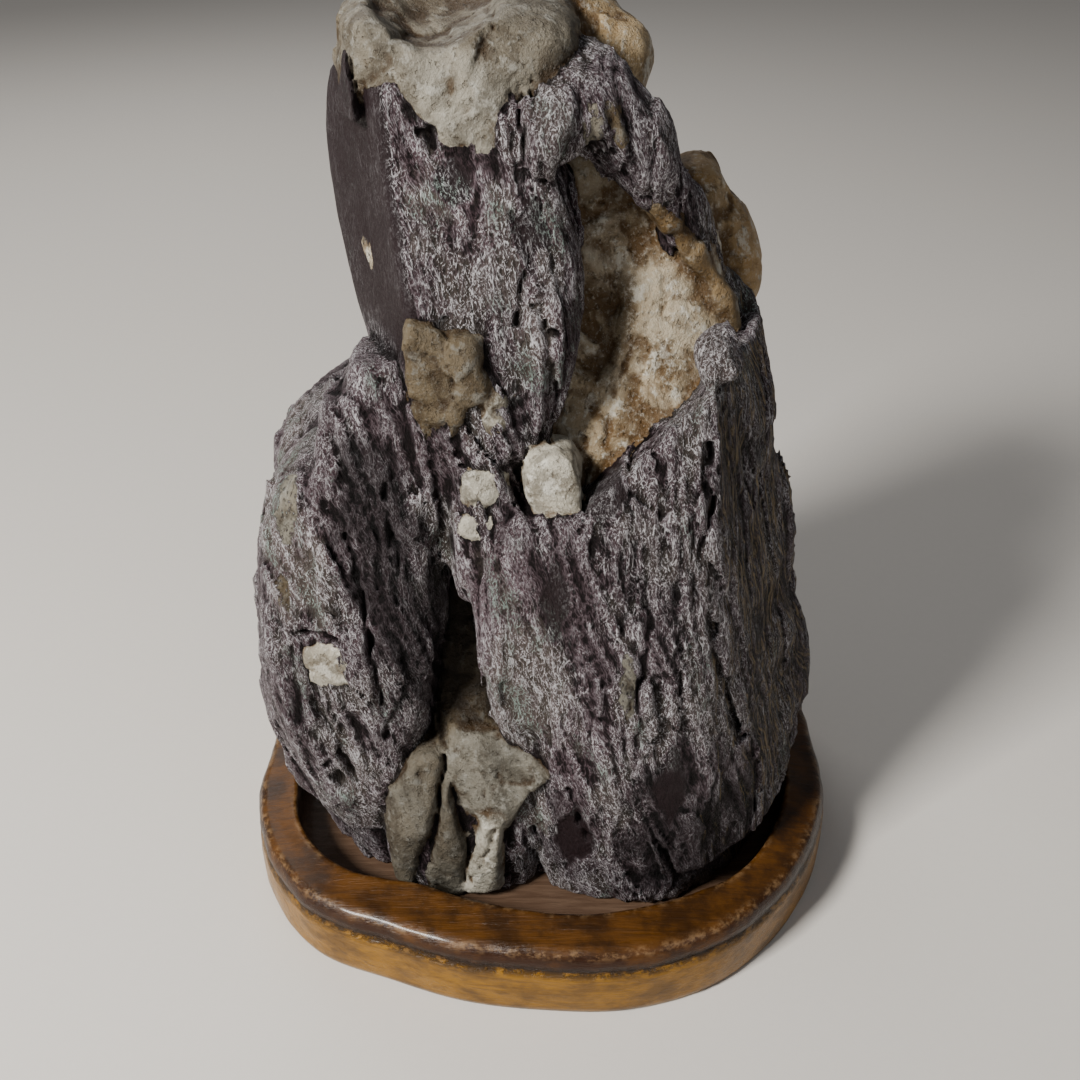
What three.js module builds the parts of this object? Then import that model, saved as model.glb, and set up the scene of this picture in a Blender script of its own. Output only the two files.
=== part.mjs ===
// Scholars rock standing in its carved wooden tray.
//
// Millimetres, +Z up, the front of the stone faces -Y. The origin is the centre of the stand's
// underside. Two solids: the stone, one natural block, and the stand, one block of carved wood.
//
// The stone is described by its natural masses (neck, buttresses, shoulder, quartz pods), each
// a rounded solid given as a signed distance. The masses grow into one another where they meet,
// and a closed net is drawn in from all sides until it lies on their common surface.

import * as THREE from 'three';
import { mergeVertices } from 'three/addons/utils/BufferGeometryUtils.js';

// ---- Driving dimensions ------------------------------------------------------------------

const STAND_HEIGHT = 20;        // underside to the inner edge of the rim
const TRAY_FLOOR = 10;          // height of the tray floor
const RIM_OUTER = 70;           // nominal outer radius, before the outline is carved
const RIM_INNER = 59;           // nominal inner radius of the rim
const SEAT_GAP = 0.3;           // the stone sits this far above the tray floor
const WALL_GAP = 1.5;           // least distance from the stone to the tray wall
const OVERHANG_SLOPE = 1.4;     // how fast the stone may spread once it is above the rim

const STAND_SEGMENTS = 84;      // steps round the stand
const STONE_AROUND = 64;        // steps round the stone
const STONE_CROWN_ROWS = 10;    // net rows over the top
const STONE_SIDE_ROWS = 34;     // net rows down the sides
const STONE_FOOT_ROWS = 12;     // net rows round and under the foot
const NET_TILT = 28;            // degrees that the side rows look up, so that ledges are met
const NET_EASING = 3;           // passes that even out the net across steep steps

const FOOT = TRAY_FLOOR + SEAT_GAP;

// Carved outline of the stand: bearing in degrees from +X, outer radius, width of the rim.
const RIM_STATIONS = [
  [0, 70.2, 10.0], [15, 71.6, 10.0], [30, 71.8, 10.5], [45, 70.8, 11.0],
  [60, 69.2, 11.5], [75, 68.2, 12.0], [90, 68.1, 12.0], [105, 68.4, 12.0],
  [120, 69.6, 11.5], [135, 71.0, 11.0], [150, 71.2, 10.5], [165, 70.2, 10.0],
  [180, 69.5, 9.8], [195, 72.1, 10.2], [210, 73.6, 9.2], [225, 73.2, 11.0],
  [240, 68.9, 13.3], [255, 67.8, 13.0], [270, 67.8, 11.6], [285, 70.2, 12.0],
  [300, 72.1, 12.0], [315, 72.3, 9.4], [330, 72.0, 9.6], [345, 71.6, 10.0],
];

// Section of the stand from the middle of the underside out, up, over the rim and into the
// tray: nominal radius and height.
const STAND_PROFILE = [
  [0, 0], [68.2, 0], [69.4, 0.5], [69.8, 1.8],        // underside and rounded foot edge
  [70.0, 6.5], [69.8, 12.4],                          // lower band
  [69.0, 13.2], [69.6, 14.2], [69.5, 16.2],           // step and upper band
  [68.4, 18.3], [66.4, 19.1],                         // soft outer arris
  [60.2, STAND_HEIGHT], [59.0, 19.3],                 // rim face and inner edge
  [58.4, 11.4], [57.2, TRAY_FLOOR], [0, TRAY_FLOOR],  // tray wall, fillet and floor
];

// ---- Distances of simple masses ----------------------------------------------------------

const smoothMin = (a, b, reach) => {
  if (reach <= 0) return Math.min(a, b);
  const share = Math.max(reach - Math.abs(a - b), 0) / reach;
  return Math.min(a, b) - share * share * reach / 4;
};
const smoothMax = (a, b, reach) => -smoothMin(-a, -b, reach);

/** Trim a distance by flat faces, each given as [normal x, y, z, offset]. */
function trim(distance, p, faces, rounding) {
  let trimmed = distance;
  for (const [nx, ny, nz, offset] of faces) {
    trimmed = smoothMax(trimmed, p.x * nx + p.y * ny + p.z * nz - offset, rounding);
  }
  return trimmed;
}

/** Straight-line value between the level sections, at one height. */
function sectionAt(sections, z) {
  const last = sections.length - 1;
  if (z <= sections[0][0]) return sections[0];
  if (z >= sections[last][0]) return sections[last];
  const upper = sections.findIndex((section) => section[0] > z);
  const [below, above] = [sections[upper - 1], sections[upper]];
  const t = (z - below[0]) / (above[0] - below[0]);
  return below.map((value, i) => value + (above[i] - value) * t);
}

/** Standing mass with level sections [height, left, right, front, back], squarish in plan. */
function column({ sections, square, end = 3, faces = [], rounding = 1.5 }) {
  const bottom = sections[0][0];
  const top = sections[sections.length - 1][0];
  return (p) => {
    const [, left, right, front, back] = sectionAt(sections, p.z);
    const [halfX, halfY] = [(right - left) / 2, (back - front) / 2];
    const dx = p.x - (left + right) / 2;
    const dy = p.y - (front + back) / 2;
    const share = (Math.abs(dx / halfX) ** square + Math.abs(dy / halfY) ** square) ** (1 / square);
    const side = share < 0.2 ? -0.8 * Math.min(halfX, halfY) : Math.hypot(dx, dy) * (1 - 1 / share);
    const ends = Math.max(p.z - top, bottom - p.z);
    return trim(smoothMax(side, ends, end), p, faces, rounding);
  };
}

/** Rounded lump: centre, half sizes, squareness, and a tilt in degrees that leans it to +X. */
function lump({ centre, half, square, tilt = 0 }) {
  const [cos, sin] = [Math.cos(THREE.MathUtils.degToRad(tilt)), Math.sin(THREE.MathUtils.degToRad(tilt))];
  return (p) => {
    const [dx, dy, dz] = [p.x - centre[0], p.y - centre[1], p.z - centre[2]];
    const [x, z] = [dx * cos - dz * sin, dx * sin + dz * cos];
    const sum = Math.abs(x / half[0]) ** square + Math.abs(dy / half[1]) ** square
      + Math.abs(z / half[2]) ** square;
    const share = sum ** (1 / square);
    return share < 0.2 ? -0.8 * Math.min(...half) : Math.hypot(x, dy, z) * (1 - 1 / share);
  };
}

/** Round ridge along a path of [x, y, z, radius]. */
function ridge({ path }) {
  const legs = path.slice(1).map((to, i) => {
    const from = path[i];
    const start = new THREE.Vector3(from[0], from[1], from[2]);
    const span = new THREE.Vector3(to[0], to[1], to[2]).sub(start);
    return { start, span, radius: from[3], gain: to[3] - from[3], square: span.lengthSq() };
  });
  const offset = new THREE.Vector3();
  return (p) => {
    let nearest = Infinity;
    for (const { start, span, radius, gain, square } of legs) {
      offset.subVectors(p, start);
      const t = THREE.MathUtils.clamp(offset.dot(span) / square, 0, 1);
      nearest = Math.min(nearest, offset.addScaledVector(span, -t).length() - radius - gain * t);
    }
    return nearest;
  };
}

// ---- The stone's masses ------------------------------------------------------------------

const SLATE = [
  { blend: 3, mass: column({                                   // neck, with its flat left facet
    sections: [
      [95, -30, 2, -34, 25], [118, -31, 2, -37, 24], [133, -33.4, 5, -38.8, 24],
      [143, -35.2, 6.8, -38, 22], [150, -36.8, 7, -36.5, 21], [160, -39, 6.8, -34.5, 19],
      [168, -39.8, 5.8, -32.6, 18], [176, -40, 4.6, -31, 16], [184, -38.8, 2, -29.6, 14],
      [189, -36, -2, -27, 12]],
    square: 4.5, end: 4, faces: [[-0.871, -0.491, 0, 39.4]] }) },
  { blend: 2, mass: lump({                                     // spike beside the quartz cap
    centre: [-32.6, -20, 188], half: [2.2, 4, 4.4], square: 2.4, tilt: 4 }) },
  { blend: 3, mass: column({                                   // left buttress, undercut below
    sections: [
      [8, -58, -30, -34, 30], [22, -60, -30, -37, 32], [40, -60.5, -26, -41, 35],
      [62, -61.5, -20, -43, 34], [80, -60.5, -18, -43, 30], [90, -59.5, -18, -41, 26],
      [97, -58.5, -18, -40, 22], [105, -57.5, -18, -39, 19], [111, -55, -18, -38.5, 16],
      [116, -50.5, -18, -38, 14], [120, -46.5, -18, -37, 12], [125, -40.5, -20, -36, 5],
      [133, -34, -22, -35, 0]],
    square: 3.2, faces: [[-0.75, -0.60, -0.32, 47]], rounding: 3 }) },
  { blend: 1, mass: column({                                   // crag on the left buttress
    sections: [
      [118, -42, -24, -38, -14], [128, -40, -24, -37.5, -15], [136, -36.4, -25, -36.5, -18],
      [140.6, -35, -26.5, -35, -20]],
    square: 4, end: 1.5 }) },
  { blend: 1, mass: column({                                   // lower step of the crag
    sections: [
      [112, -46, -34, -37.5, -14], [126, -43.4, -34, -36, -16], [131.6, -41.6, -35.5, -34.5, -18]],
    square: 4, end: 1.5 }) },
  { blend: 3, mass: column({                                   // right buttress and its flank
    sections: [
      [8, -6, 57, -44, 38], [25, -8, 64, -48, 42], [50, -10, 64, -50, 42],
      [75, -11, 59.5, -49, 38], [95, -11, 54.5, -47, 34], [110, -9, 49, -45, 30],
      [125, -4, 45.5, -41, 28], [139.5, 2, 43.5, -38, 26]],
    square: 3.4, end: 2.5,
    faces: [[-0.70, 0.22, 0.69, 64.5], [0.90, -0.42, 0.15, 63.4], [0.57, -0.82, -0.50, 49]] }) },
  { blend: 6, mass: column({                                   // body behind the buttresses
    sections: [
      [8, -50, 52, -10, 40], [40, -55, 57, -10, 43], [80, -52, 52, -12, 38],
      [115, -40, 42, -12, 31], [145, -31, 36, -10, 24], [165, -28, 22, -8, 18],
      [182, -22, 10, -6, 14]],
    square: 2.8, end: 8 }) },
  { blend: 4, mass: column({                                   // left rib of the back
    sections: [
      [8, -42, -12, 8, 45], [50, -45, -10, 8, 46], [95, -37, -8, 8, 38],
      [130, -29, -9, 6, 31], [158, -24, -10, 4, 23]],
    square: 2.6, end: 6, faces: [[-0.35, 0.92, 0.15, 57]] }) },
  { blend: 4, mass: column({                                   // right rib of the back
    sections: [
      [8, 9, 46, 6, 42], [45, 8, 49, 6, 45], [85, 5, 43, 5, 40],
      [118, 3, 36, 3, 33], [146, 2, 30, 2, 26]],
    square: 2.6, end: 5 }) },
  { blend: 2, mass: column({                                   // strip between the buttresses
    sections: [
      [70, -20, -8, -30, 10], [90, -20, -6, -34, 10], [110, -19, -4, -37, 10],
      [130, -18, -2, -37, 10], [142, -18, -2, -36, 10]],
    square: 3.5 }) },
  { blend: 3, mass: ridge({                                    // shoulder arching over the hollow
    path: [
      [-2, -25.5, 178.5, 7.5], [5, -24.5, 181.5, 8], [10.5, -22, 179, 7.8],
      [16, -19, 174, 6.8], [21, -15.5, 168, 5.6], [25.5, -12, 161.5, 4.6],
      [29.5, -9, 155, 3.8], [34, -6, 147, 3.6], [38, -3, 139, 4.6], [40, 0, 129, 5.5],
      [42, 2, 117, 6]] }) },
  { blend: 2, mass: lump({                                     // tip of the shoulder
    centre: [6, -19.5, 188], half: [3.3, 4.5, 5.2], square: 2.6, tilt: -12 }) },
];

const QUARTZ = [
  { blend: 2, mass: column({                                   // core laid bare in the hollow
    sections: [
      [98, -6, 30, -34, 10], [110, -6, 32, -32, 12], [125, -4, 36, -28, 15],
      [140, -2, 38, -20, 18], [155, 0, 34, -15, 18], [168, 0, 24, -14, 15],
      [178, 0, 14, -12, 10]],
    square: 3, end: 4 }) },
  { blend: 1, mass: lump({ centre: [-14.5, -10, 191], half: [20.5, 19, 8], square: 3.4 }) },
  { blend: 3, mass: column({                                   // tongue of the cap
    sections: [
      [176.5, -16, -5, -30, -12], [180, -19.5, -4.5, -31.5, -12],
      [187, -26, -3.5, -31, -12], [194, -28, 0, -29, -12]],
    square: 4, end: 2.5 }) },
  { blend: 3, mass: lump({ centre: [-1, -14, 190], half: [7.5, 10, 7], square: 2.6 }) },
  { blend: 1, mass: lump({ centre: [9.5, 1, 184.5], half: [9, 9, 9.5], square: 3, tilt: 10 }) },
  { blend: 2, mass: lump({ centre: [30.5, 13, 157], half: [7, 8, 8], square: 3, tilt: -20 }) },
  { blend: 2, mass: lump({ centre: [37, 13, 145.5], half: [7.2, 9, 14], square: 3, tilt: -24 }) },
  { blend: 2, mass: ridge({ path: [                            // vein down the back
    [34, 18, 145, 7], [27, 26, 128, 6], [15, 30, 106, 6.5], [2, 35, 84, 5], [-8, 40, 60, 5.5],
    [-22, 42, 38, 4]] }) },
  { blend: 1, mass: lump({ centre: [1.8, -35, 116.3], half: [5.8, 7.3, 8], square: 2.4 }) },
  { blend: 1, mass: lump({ centre: [-18, -31, 137], half: [6.5, 7.8, 9.5], square: 4.5 }) },
  { blend: 1, mass: lump({ centre: [-43.5, -38.6, 78.5], half: [5, 5.6, 4.8], square: 4.5 }) },
  { blend: 2, mass: lump({ centre: [-28, -36, 31], half: [7, 8.5, 17], square: 2.8 }) },
  { blend: 2, mass: lump({ centre: [-11, -38, 42.5], half: [12, 8.5, 7.5], square: 2.6, tilt: 12 }) },
  { blend: 2, mass: lump({ centre: [-14, -39.5, 25], half: [7, 6.5, 13], square: 2.8, tilt: 10 }) },
];

// Groove in the back of the hollow, and the shallow dish in the top of the cap.
const HOLLOWS = [
  ridge({ path: [[8, -19, 170, 4], [11, -18, 158, 6], [12, -19, 147, 6], [11, -22, 139, 4]] }),
  lump({ centre: [-15, -6, 205], half: [16, 14, 9], square: 2.4 }),
];

// Gully between the two buttresses. It cuts the slate and stops at the quartz below.
const GULLY = ridge({ path: [
  [-17, -41, 118, 1.5], [-18, -40, 100, 3], [-17, -38, 86, 4.5], [-15.5, -37, 72, 7],
  [-16.5, -39, 60, 7], [-19, -45, 52, 4]] });

// Line inside the stone that the net is drawn in towards, from the foot up.
const SPINE = [[0, -4, 22], [0, -2, 60], [-2, 0, 100], [-4, 0, 140], [-8, -6, 168]]
  .map((point) => new THREE.Vector3(...point));

// ---- The stand's outline -----------------------------------------------------------------

/** Radius of the rim at a bearing in radians: column 1 is the outer edge, 2 the rim's width. */
function rimValue(bearing, field) {
  const count = RIM_STATIONS.length;
  const place = THREE.MathUtils.euclideanModulo(bearing / (2 * Math.PI), 1) * count;
  const at = (i) => RIM_STATIONS[(Math.floor(place) + i + count) % count][field];
  const t = place - Math.floor(place);
  const [before, from, to, after] = [at(-1), at(0), at(1), at(2)];
  const bend = 2 * before - 5 * from + 4 * to - after;
  const twist = 3 * (from - to) + after - before;
  return from + 0.5 * t * (to - before + t * (bend + t * twist));
}

/** Radius in the carved stand of a point at a nominal radius. */
function carvedRadius(nominal, bearing) {
  const outer = rimValue(bearing, 1);
  const inner = outer - rimValue(bearing, 2);
  if (nominal <= RIM_INNER) return inner * nominal / RIM_INNER;
  return inner + (outer - inner) * (nominal - RIM_INNER) / (RIM_OUTER - RIM_INNER);
}

// ---- The two solids ----------------------------------------------------------------------

/** Distance to the whole stone, kept clear of the tray's floor, wall and rim. */
function stoneDistance(p) {
  const grown = (masses) => masses.reduce((near, { mass, blend }) => smoothMin(near, mass(p), blend), 1e3);
  let slate = smoothMax(grown(SLATE), -GULLY(p), 2);
  let quartz = grown(QUARTZ);
  for (const hollow of HOLLOWS) {
    const inside = -hollow(p);
    slate = smoothMax(slate, inside, 2);
    quartz = smoothMax(quartz, inside, 2);
  }
  const wall = carvedRadius(RIM_INNER, Math.atan2(p.y, p.x)) - WALL_GAP;
  const spread = OVERHANG_SLOPE * Math.max(p.z - STAND_HEIGHT - 1, 0);
  const seat = Math.max(FOOT - p.z, Math.hypot(p.x, p.y) - wall - spread);
  return Math.max(smoothMin(slate, quartz, 1), seat);
}

/** Point on the spine at a height. */
function spineAt(z) {
  const upper = SPINE.findIndex((point) => point.z >= z);
  if (upper <= 0) return SPINE[upper === 0 ? 0 : SPINE.length - 1].clone();
  const [from, to] = [SPINE[upper - 1], SPINE[upper]];
  return from.clone().lerp(to, (z - from.z) / (to.z - from.z));
}

/** Origin on the spine and direction of the net's ray for one row and bearing. */
function netRay(row, bearing) {
  const foot = STONE_CROWN_ROWS + STONE_SIDE_ROWS;
  const [low, high] = [SPINE[0].z, SPINE[SPINE.length - 1].z];
  let [height, degrees] = [low, NET_TILT - (NET_TILT + 90) * (row - foot) / STONE_FOOT_ROWS];
  if (row < STONE_CROWN_ROWS) {
    [height, degrees] = [high, 90 - (90 - NET_TILT) * row / STONE_CROWN_ROWS];
  } else if (row <= foot) {
    [height, degrees] = [high + (low - high) * (row - STONE_CROWN_ROWS) / STONE_SIDE_ROWS, NET_TILT];
  }
  const elevation = THREE.MathUtils.degToRad(degrees);
  const level = Math.cos(elevation);
  const direction = new THREE.Vector3(
    level * Math.cos(bearing), level * Math.sin(bearing), Math.sin(elevation));
  return { origin: spineAt(height), direction };
}

/** Distance along a ray, from its origin, at which it meets the stone from outside. */
function meetingDistance({ origin, direction }) {
  const [reach, step, halvings] = [120, 1, 14];
  const point = new THREE.Vector3();
  const depthAt = (distance) => stoneDistance(point.copy(origin).addScaledVector(direction, distance));
  let outside = reach;
  while (outside > step && depthAt(outside - step) > 0) outside -= step;
  let inside = outside - step;
  for (let i = 0; i < halvings; i += 1) {
    const middle = (inside + outside) / 2;
    if (depthAt(middle) > 0) outside = middle;
    else inside = middle;
  }
  return inside;
}

/** Each distance eased half way towards the mean of its four neighbours in the net. */
function eased(distances) {
  return distances.map((row, i) => {
    if (i === 0 || i === distances.length - 1) return row;
    return row.map((distance, j) => {
      const [left, right] = [row.at(j - 1), row[(j + 1) % row.length]];
      return distance / 2 + (left + right + distances[i - 1][j] + distances[i + 1][j]) / 8;
    });
  });
}

/** Closed net over the whole stone. */
function stoneGeometry() {
  const rows = STONE_CROWN_ROWS + STONE_SIDE_ROWS + STONE_FOOT_ROWS;
  const bearings = Array.from({ length: STONE_AROUND }, (_, i) => 2 * Math.PI * i / STONE_AROUND);
  const rays = Array.from({ length: rows + 1 }, (_, row) => bearings.map((bearing) => netRay(row, bearing)));
  let distances = rays.map((row) => row.map(meetingDistance));
  for (let pass = 0; pass < NET_EASING; pass += 1) distances = eased(distances);
  const net = new THREE.SphereGeometry(1, STONE_AROUND, rows);
  const place = net.attributes.position;
  for (let i = 0; i < place.count; i += 1) {
    const row = Math.floor(i / (STONE_AROUND + 1));
    const around = row % rows === 0 ? 0 : (i % (STONE_AROUND + 1)) % STONE_AROUND;
    const { origin, direction } = rays[row][around];
    const point = origin.clone().addScaledVector(direction, distances[row][around]);
    place.setXYZ(i, point.x, point.y, Math.max(point.z, FOOT));
  }
  return welded(net);
}

/** Turned tray whose every ring is then moved out to the carved outline. */
function standGeometry() {
  const profile = STAND_PROFILE.map(([radius, height]) => new THREE.Vector2(radius, height));
  const turned = new THREE.LatheGeometry(profile, STAND_SEGMENTS);
  turned.rotateX(Math.PI / 2);
  const place = turned.attributes.position;
  for (let i = 0; i < place.count; i += 1) {
    const [x, y] = [place.getX(i), place.getY(i)];
    const bearing = Math.atan2(y, x);
    const radius = carvedRadius(Math.hypot(x, y), bearing);
    place.setXY(i, radius * Math.cos(bearing), radius * Math.sin(bearing));
  }
  return welded(turned);
}

/** Merge shared vertices so that the mesh is one closed body. */
function welded(geometry) {
  geometry.deleteAttribute('normal');
  geometry.deleteAttribute('uv');
  return mergeVertices(geometry, 1e-4);
}

/** Named mesh with its own finish. */
function piece(name, geometry, color, roughness) {
  geometry.computeVertexNormals();
  const finish = new THREE.MeshStandardMaterial({ color, roughness, metalness: 0, flatShading: true });
  const mesh = new THREE.Mesh(geometry, finish);
  mesh.name = name;
  return mesh;
}

const scholarsRock = new THREE.Group();
scholarsRock.add(
  piece('stand', standGeometry(), 0x8a5a24, 0.4),
  piece('rock', stoneGeometry(), 0x5d5360, 0.8),
);

export default scholarsRock;
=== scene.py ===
"""Scholars rock on its carved wooden stand: the visual model, its studio and its camera.

The stone is described by its natural masses, as distances in millimetres round the middle of
the stand. A fine net is drawn over their common surface, with the foliation, cracks and pits of
the slate and the smoother swells of the quartz, and is then dressed by procedural finishes.
"""

import logging
import math
from abc import ABC, abstractmethod
from dataclasses import dataclass, field
from typing import Callable

import bpy
import numpy as np
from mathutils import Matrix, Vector


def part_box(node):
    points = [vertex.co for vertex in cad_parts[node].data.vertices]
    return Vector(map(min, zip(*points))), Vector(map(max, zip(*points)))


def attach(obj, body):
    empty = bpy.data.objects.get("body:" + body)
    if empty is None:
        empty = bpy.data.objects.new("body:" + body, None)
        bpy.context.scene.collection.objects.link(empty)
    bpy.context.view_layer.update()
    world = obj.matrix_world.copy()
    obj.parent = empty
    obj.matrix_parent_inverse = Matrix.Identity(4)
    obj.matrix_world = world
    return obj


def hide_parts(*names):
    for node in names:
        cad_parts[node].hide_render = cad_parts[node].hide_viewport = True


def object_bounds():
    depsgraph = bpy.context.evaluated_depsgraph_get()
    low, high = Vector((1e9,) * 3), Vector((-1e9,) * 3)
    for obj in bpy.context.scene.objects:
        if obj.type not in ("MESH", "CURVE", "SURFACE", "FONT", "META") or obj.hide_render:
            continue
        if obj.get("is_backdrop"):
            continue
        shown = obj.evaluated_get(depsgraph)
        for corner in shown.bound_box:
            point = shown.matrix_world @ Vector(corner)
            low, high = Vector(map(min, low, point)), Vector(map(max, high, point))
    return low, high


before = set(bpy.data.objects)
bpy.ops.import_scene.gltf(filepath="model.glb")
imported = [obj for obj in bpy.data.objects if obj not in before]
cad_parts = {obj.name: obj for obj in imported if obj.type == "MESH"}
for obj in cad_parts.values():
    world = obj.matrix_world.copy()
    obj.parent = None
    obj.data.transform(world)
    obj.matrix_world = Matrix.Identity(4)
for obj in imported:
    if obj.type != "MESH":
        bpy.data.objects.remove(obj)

LOG = logging.getLogger("scholars_rock")
MM = 0.001
Array = np.ndarray
Colour = tuple[float, float, float]
Distance = Callable[[Array], Array]


# ---- Distances -------------------------------------------------------------------------------

def smooth_min(a: Array, b: Array, reach: float) -> Array:
    """Lesser of two distances, with the joint between them rounded.

    Args:
        a: First distances.
        b: Second distances.
        reach: How far apart the two may be and still be blended, in mm.

    Returns:
        The blended distances.
    """
    share = np.maximum(reach - np.abs(a - b), 0.0) / reach
    return np.minimum(a, b) - share * share * (reach / 4)


def smooth_max(a: Array, b: Array, reach: float) -> Array:
    """Greater of two distances, with the joint between them rounded."""
    return -smooth_min(-a, -b, reach)


def ramp(value: Array, low: float, high: float) -> Array:
    """Smooth rise from 0 at low to 1 at high."""
    t = np.clip((value - low) / (high - low), 0.0, 1.0)
    return t * t * (3 - 2 * t)


class Shape(ABC):
    """A simple solid given by its signed distance in mm."""

    @abstractmethod
    def distance(self, p: Array) -> Array:
        """Signed distance of each point, less than nought inside."""


Face = tuple[float, float, float, float]


def trimmed(distance: Array, p: Array, faces: tuple[Face, ...], rounding: float) -> Array:
    """Distance cut by flat faces, each given as its normal and its offset.

    Args:
        distance: Distances of the whole shape.
        p: Points in mm, one row each.
        faces: The faces that cut it.
        rounding: How round the new arrises are, in mm.

    Returns:
        The cut distances.
    """
    for nx, ny, nz, offset in faces:
        plane = p[:, 0] * nx + p[:, 1] * ny + p[:, 2] * nz - offset
        distance = smooth_max(distance, plane, rounding)
    return distance


def squarish(offsets: tuple[Array, ...], half: tuple[Array | float, ...], power: float) -> Array:
    """Distance to a rounded box, round when the power is 2 and squarer when it is more.

    Args:
        offsets: Offsets from the box's middle along each of its axes.
        half: Half sizes along the same axes.
        power: How square the box is.

    Returns:
        Distances that are true near the surface and only roughly right near the middle.
    """
    share = sum(np.abs(v / h) ** power for v, h in zip(offsets, half)) ** (1 / power) + 1e-9
    reach = np.sqrt(sum(v * v for v in offsets))
    return np.where(share < 0.2, -0.8 * np.minimum.reduce(half), reach * (1 - 1 / share))


@dataclass(frozen=True)
class Column(Shape):
    """Standing mass with level sections, squarish in plan.

    Each section is (height, left, right, front, back), and each face (normal x, y, z, offset)
    trims the mass flat.
    """

    sections: tuple[tuple[float, ...], ...]
    square: float = 3.0
    end: float = 3.0
    faces: tuple[Face, ...] = ()
    rounding: float = 1.5

    def distance(self, p: Array) -> Array:
        """Signed distance of each point, less than nought inside.

        Args:
            p: Points in mm, one row each.

        Returns:
            The distances in mm.
        """
        table = np.array(self.sections)
        z = p[:, 2]
        left, right, front, back = (np.interp(z, table[:, 0], table[:, i]) for i in (1, 2, 3, 4))
        offsets = p[:, 0] - (left + right) / 2, p[:, 1] - (front + back) / 2
        side = squarish(offsets, ((right - left) / 2, (back - front) / 2), self.square)
        ends = np.maximum(z - table[-1, 0], table[0, 0] - z)
        return trimmed(smooth_max(side, ends, self.end), p, self.faces, self.rounding)


@dataclass(frozen=True)
class Lump(Shape):
    """Rounded lump with a centre, half sizes and a tilt in degrees that leans it to +X."""

    centre: tuple[float, float, float]
    half: tuple[float, float, float]
    square: float = 2.5
    tilt: float = 0.0
    faces: tuple[Face, ...] = ()
    rounding: float = 1.0

    def distance(self, p: Array) -> Array:
        """Signed distance of each point, less than nought inside.

        Args:
            p: Points in mm, one row each.

        Returns:
            The distances in mm.
        """
        cos, sin = math.cos(math.radians(self.tilt)), math.sin(math.radians(self.tilt))
        dx, dy, dz = (p[:, i] - self.centre[i] for i in range(3))
        offsets = dx * cos - dz * sin, dy, dx * sin + dz * cos
        side = squarish(offsets, self.half, self.square)
        return trimmed(side, p, self.faces, self.rounding)


@dataclass(frozen=True)
class Ridge(Shape):
    """Round ridge or groove along a path of (x, y, z, radius)."""

    path: tuple[tuple[float, float, float, float], ...]

    def distance(self, p: Array) -> Array:
        """Signed distance of each point, less than nought inside.

        Args:
            p: Points in mm, one row each.

        Returns:
            The distances in mm.
        """
        nearest = np.full(len(p), 1e3)
        for start, stop in zip(self.path[:-1], self.path[1:]):
            origin, span = np.array(start[:3]), np.array(stop[:3]) - np.array(start[:3])
            offset = p - origin
            t = np.clip(offset @ span / (span @ span), 0, 1)
            gap = np.linalg.norm(offset - t[:, None] * span, axis=1)
            nearest = np.minimum(nearest, gap - start[3] - (stop[3] - start[3]) * t)
        return nearest


NECK_FACET = (-0.871, -0.491, 0.0)
RIGHT_FLANK = (0.90, -0.42, 0.15)


def along(p: Array, normal: tuple[float, float, float]) -> Array:
    """How far each point lies along a face's normal, in mm."""
    return p @ np.array(normal)


@dataclass(frozen=True)
class Mass:
    """One natural mass of the stone.

    Stain and tone matter on quartz only. Stain runs from 0, clean grey-white, to 1, browned by
    rust, and tone lightens or darkens.
    """

    shape: Shape
    blend: float = 3.0
    stain: float = 0.0
    tone: float = 1.0


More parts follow.
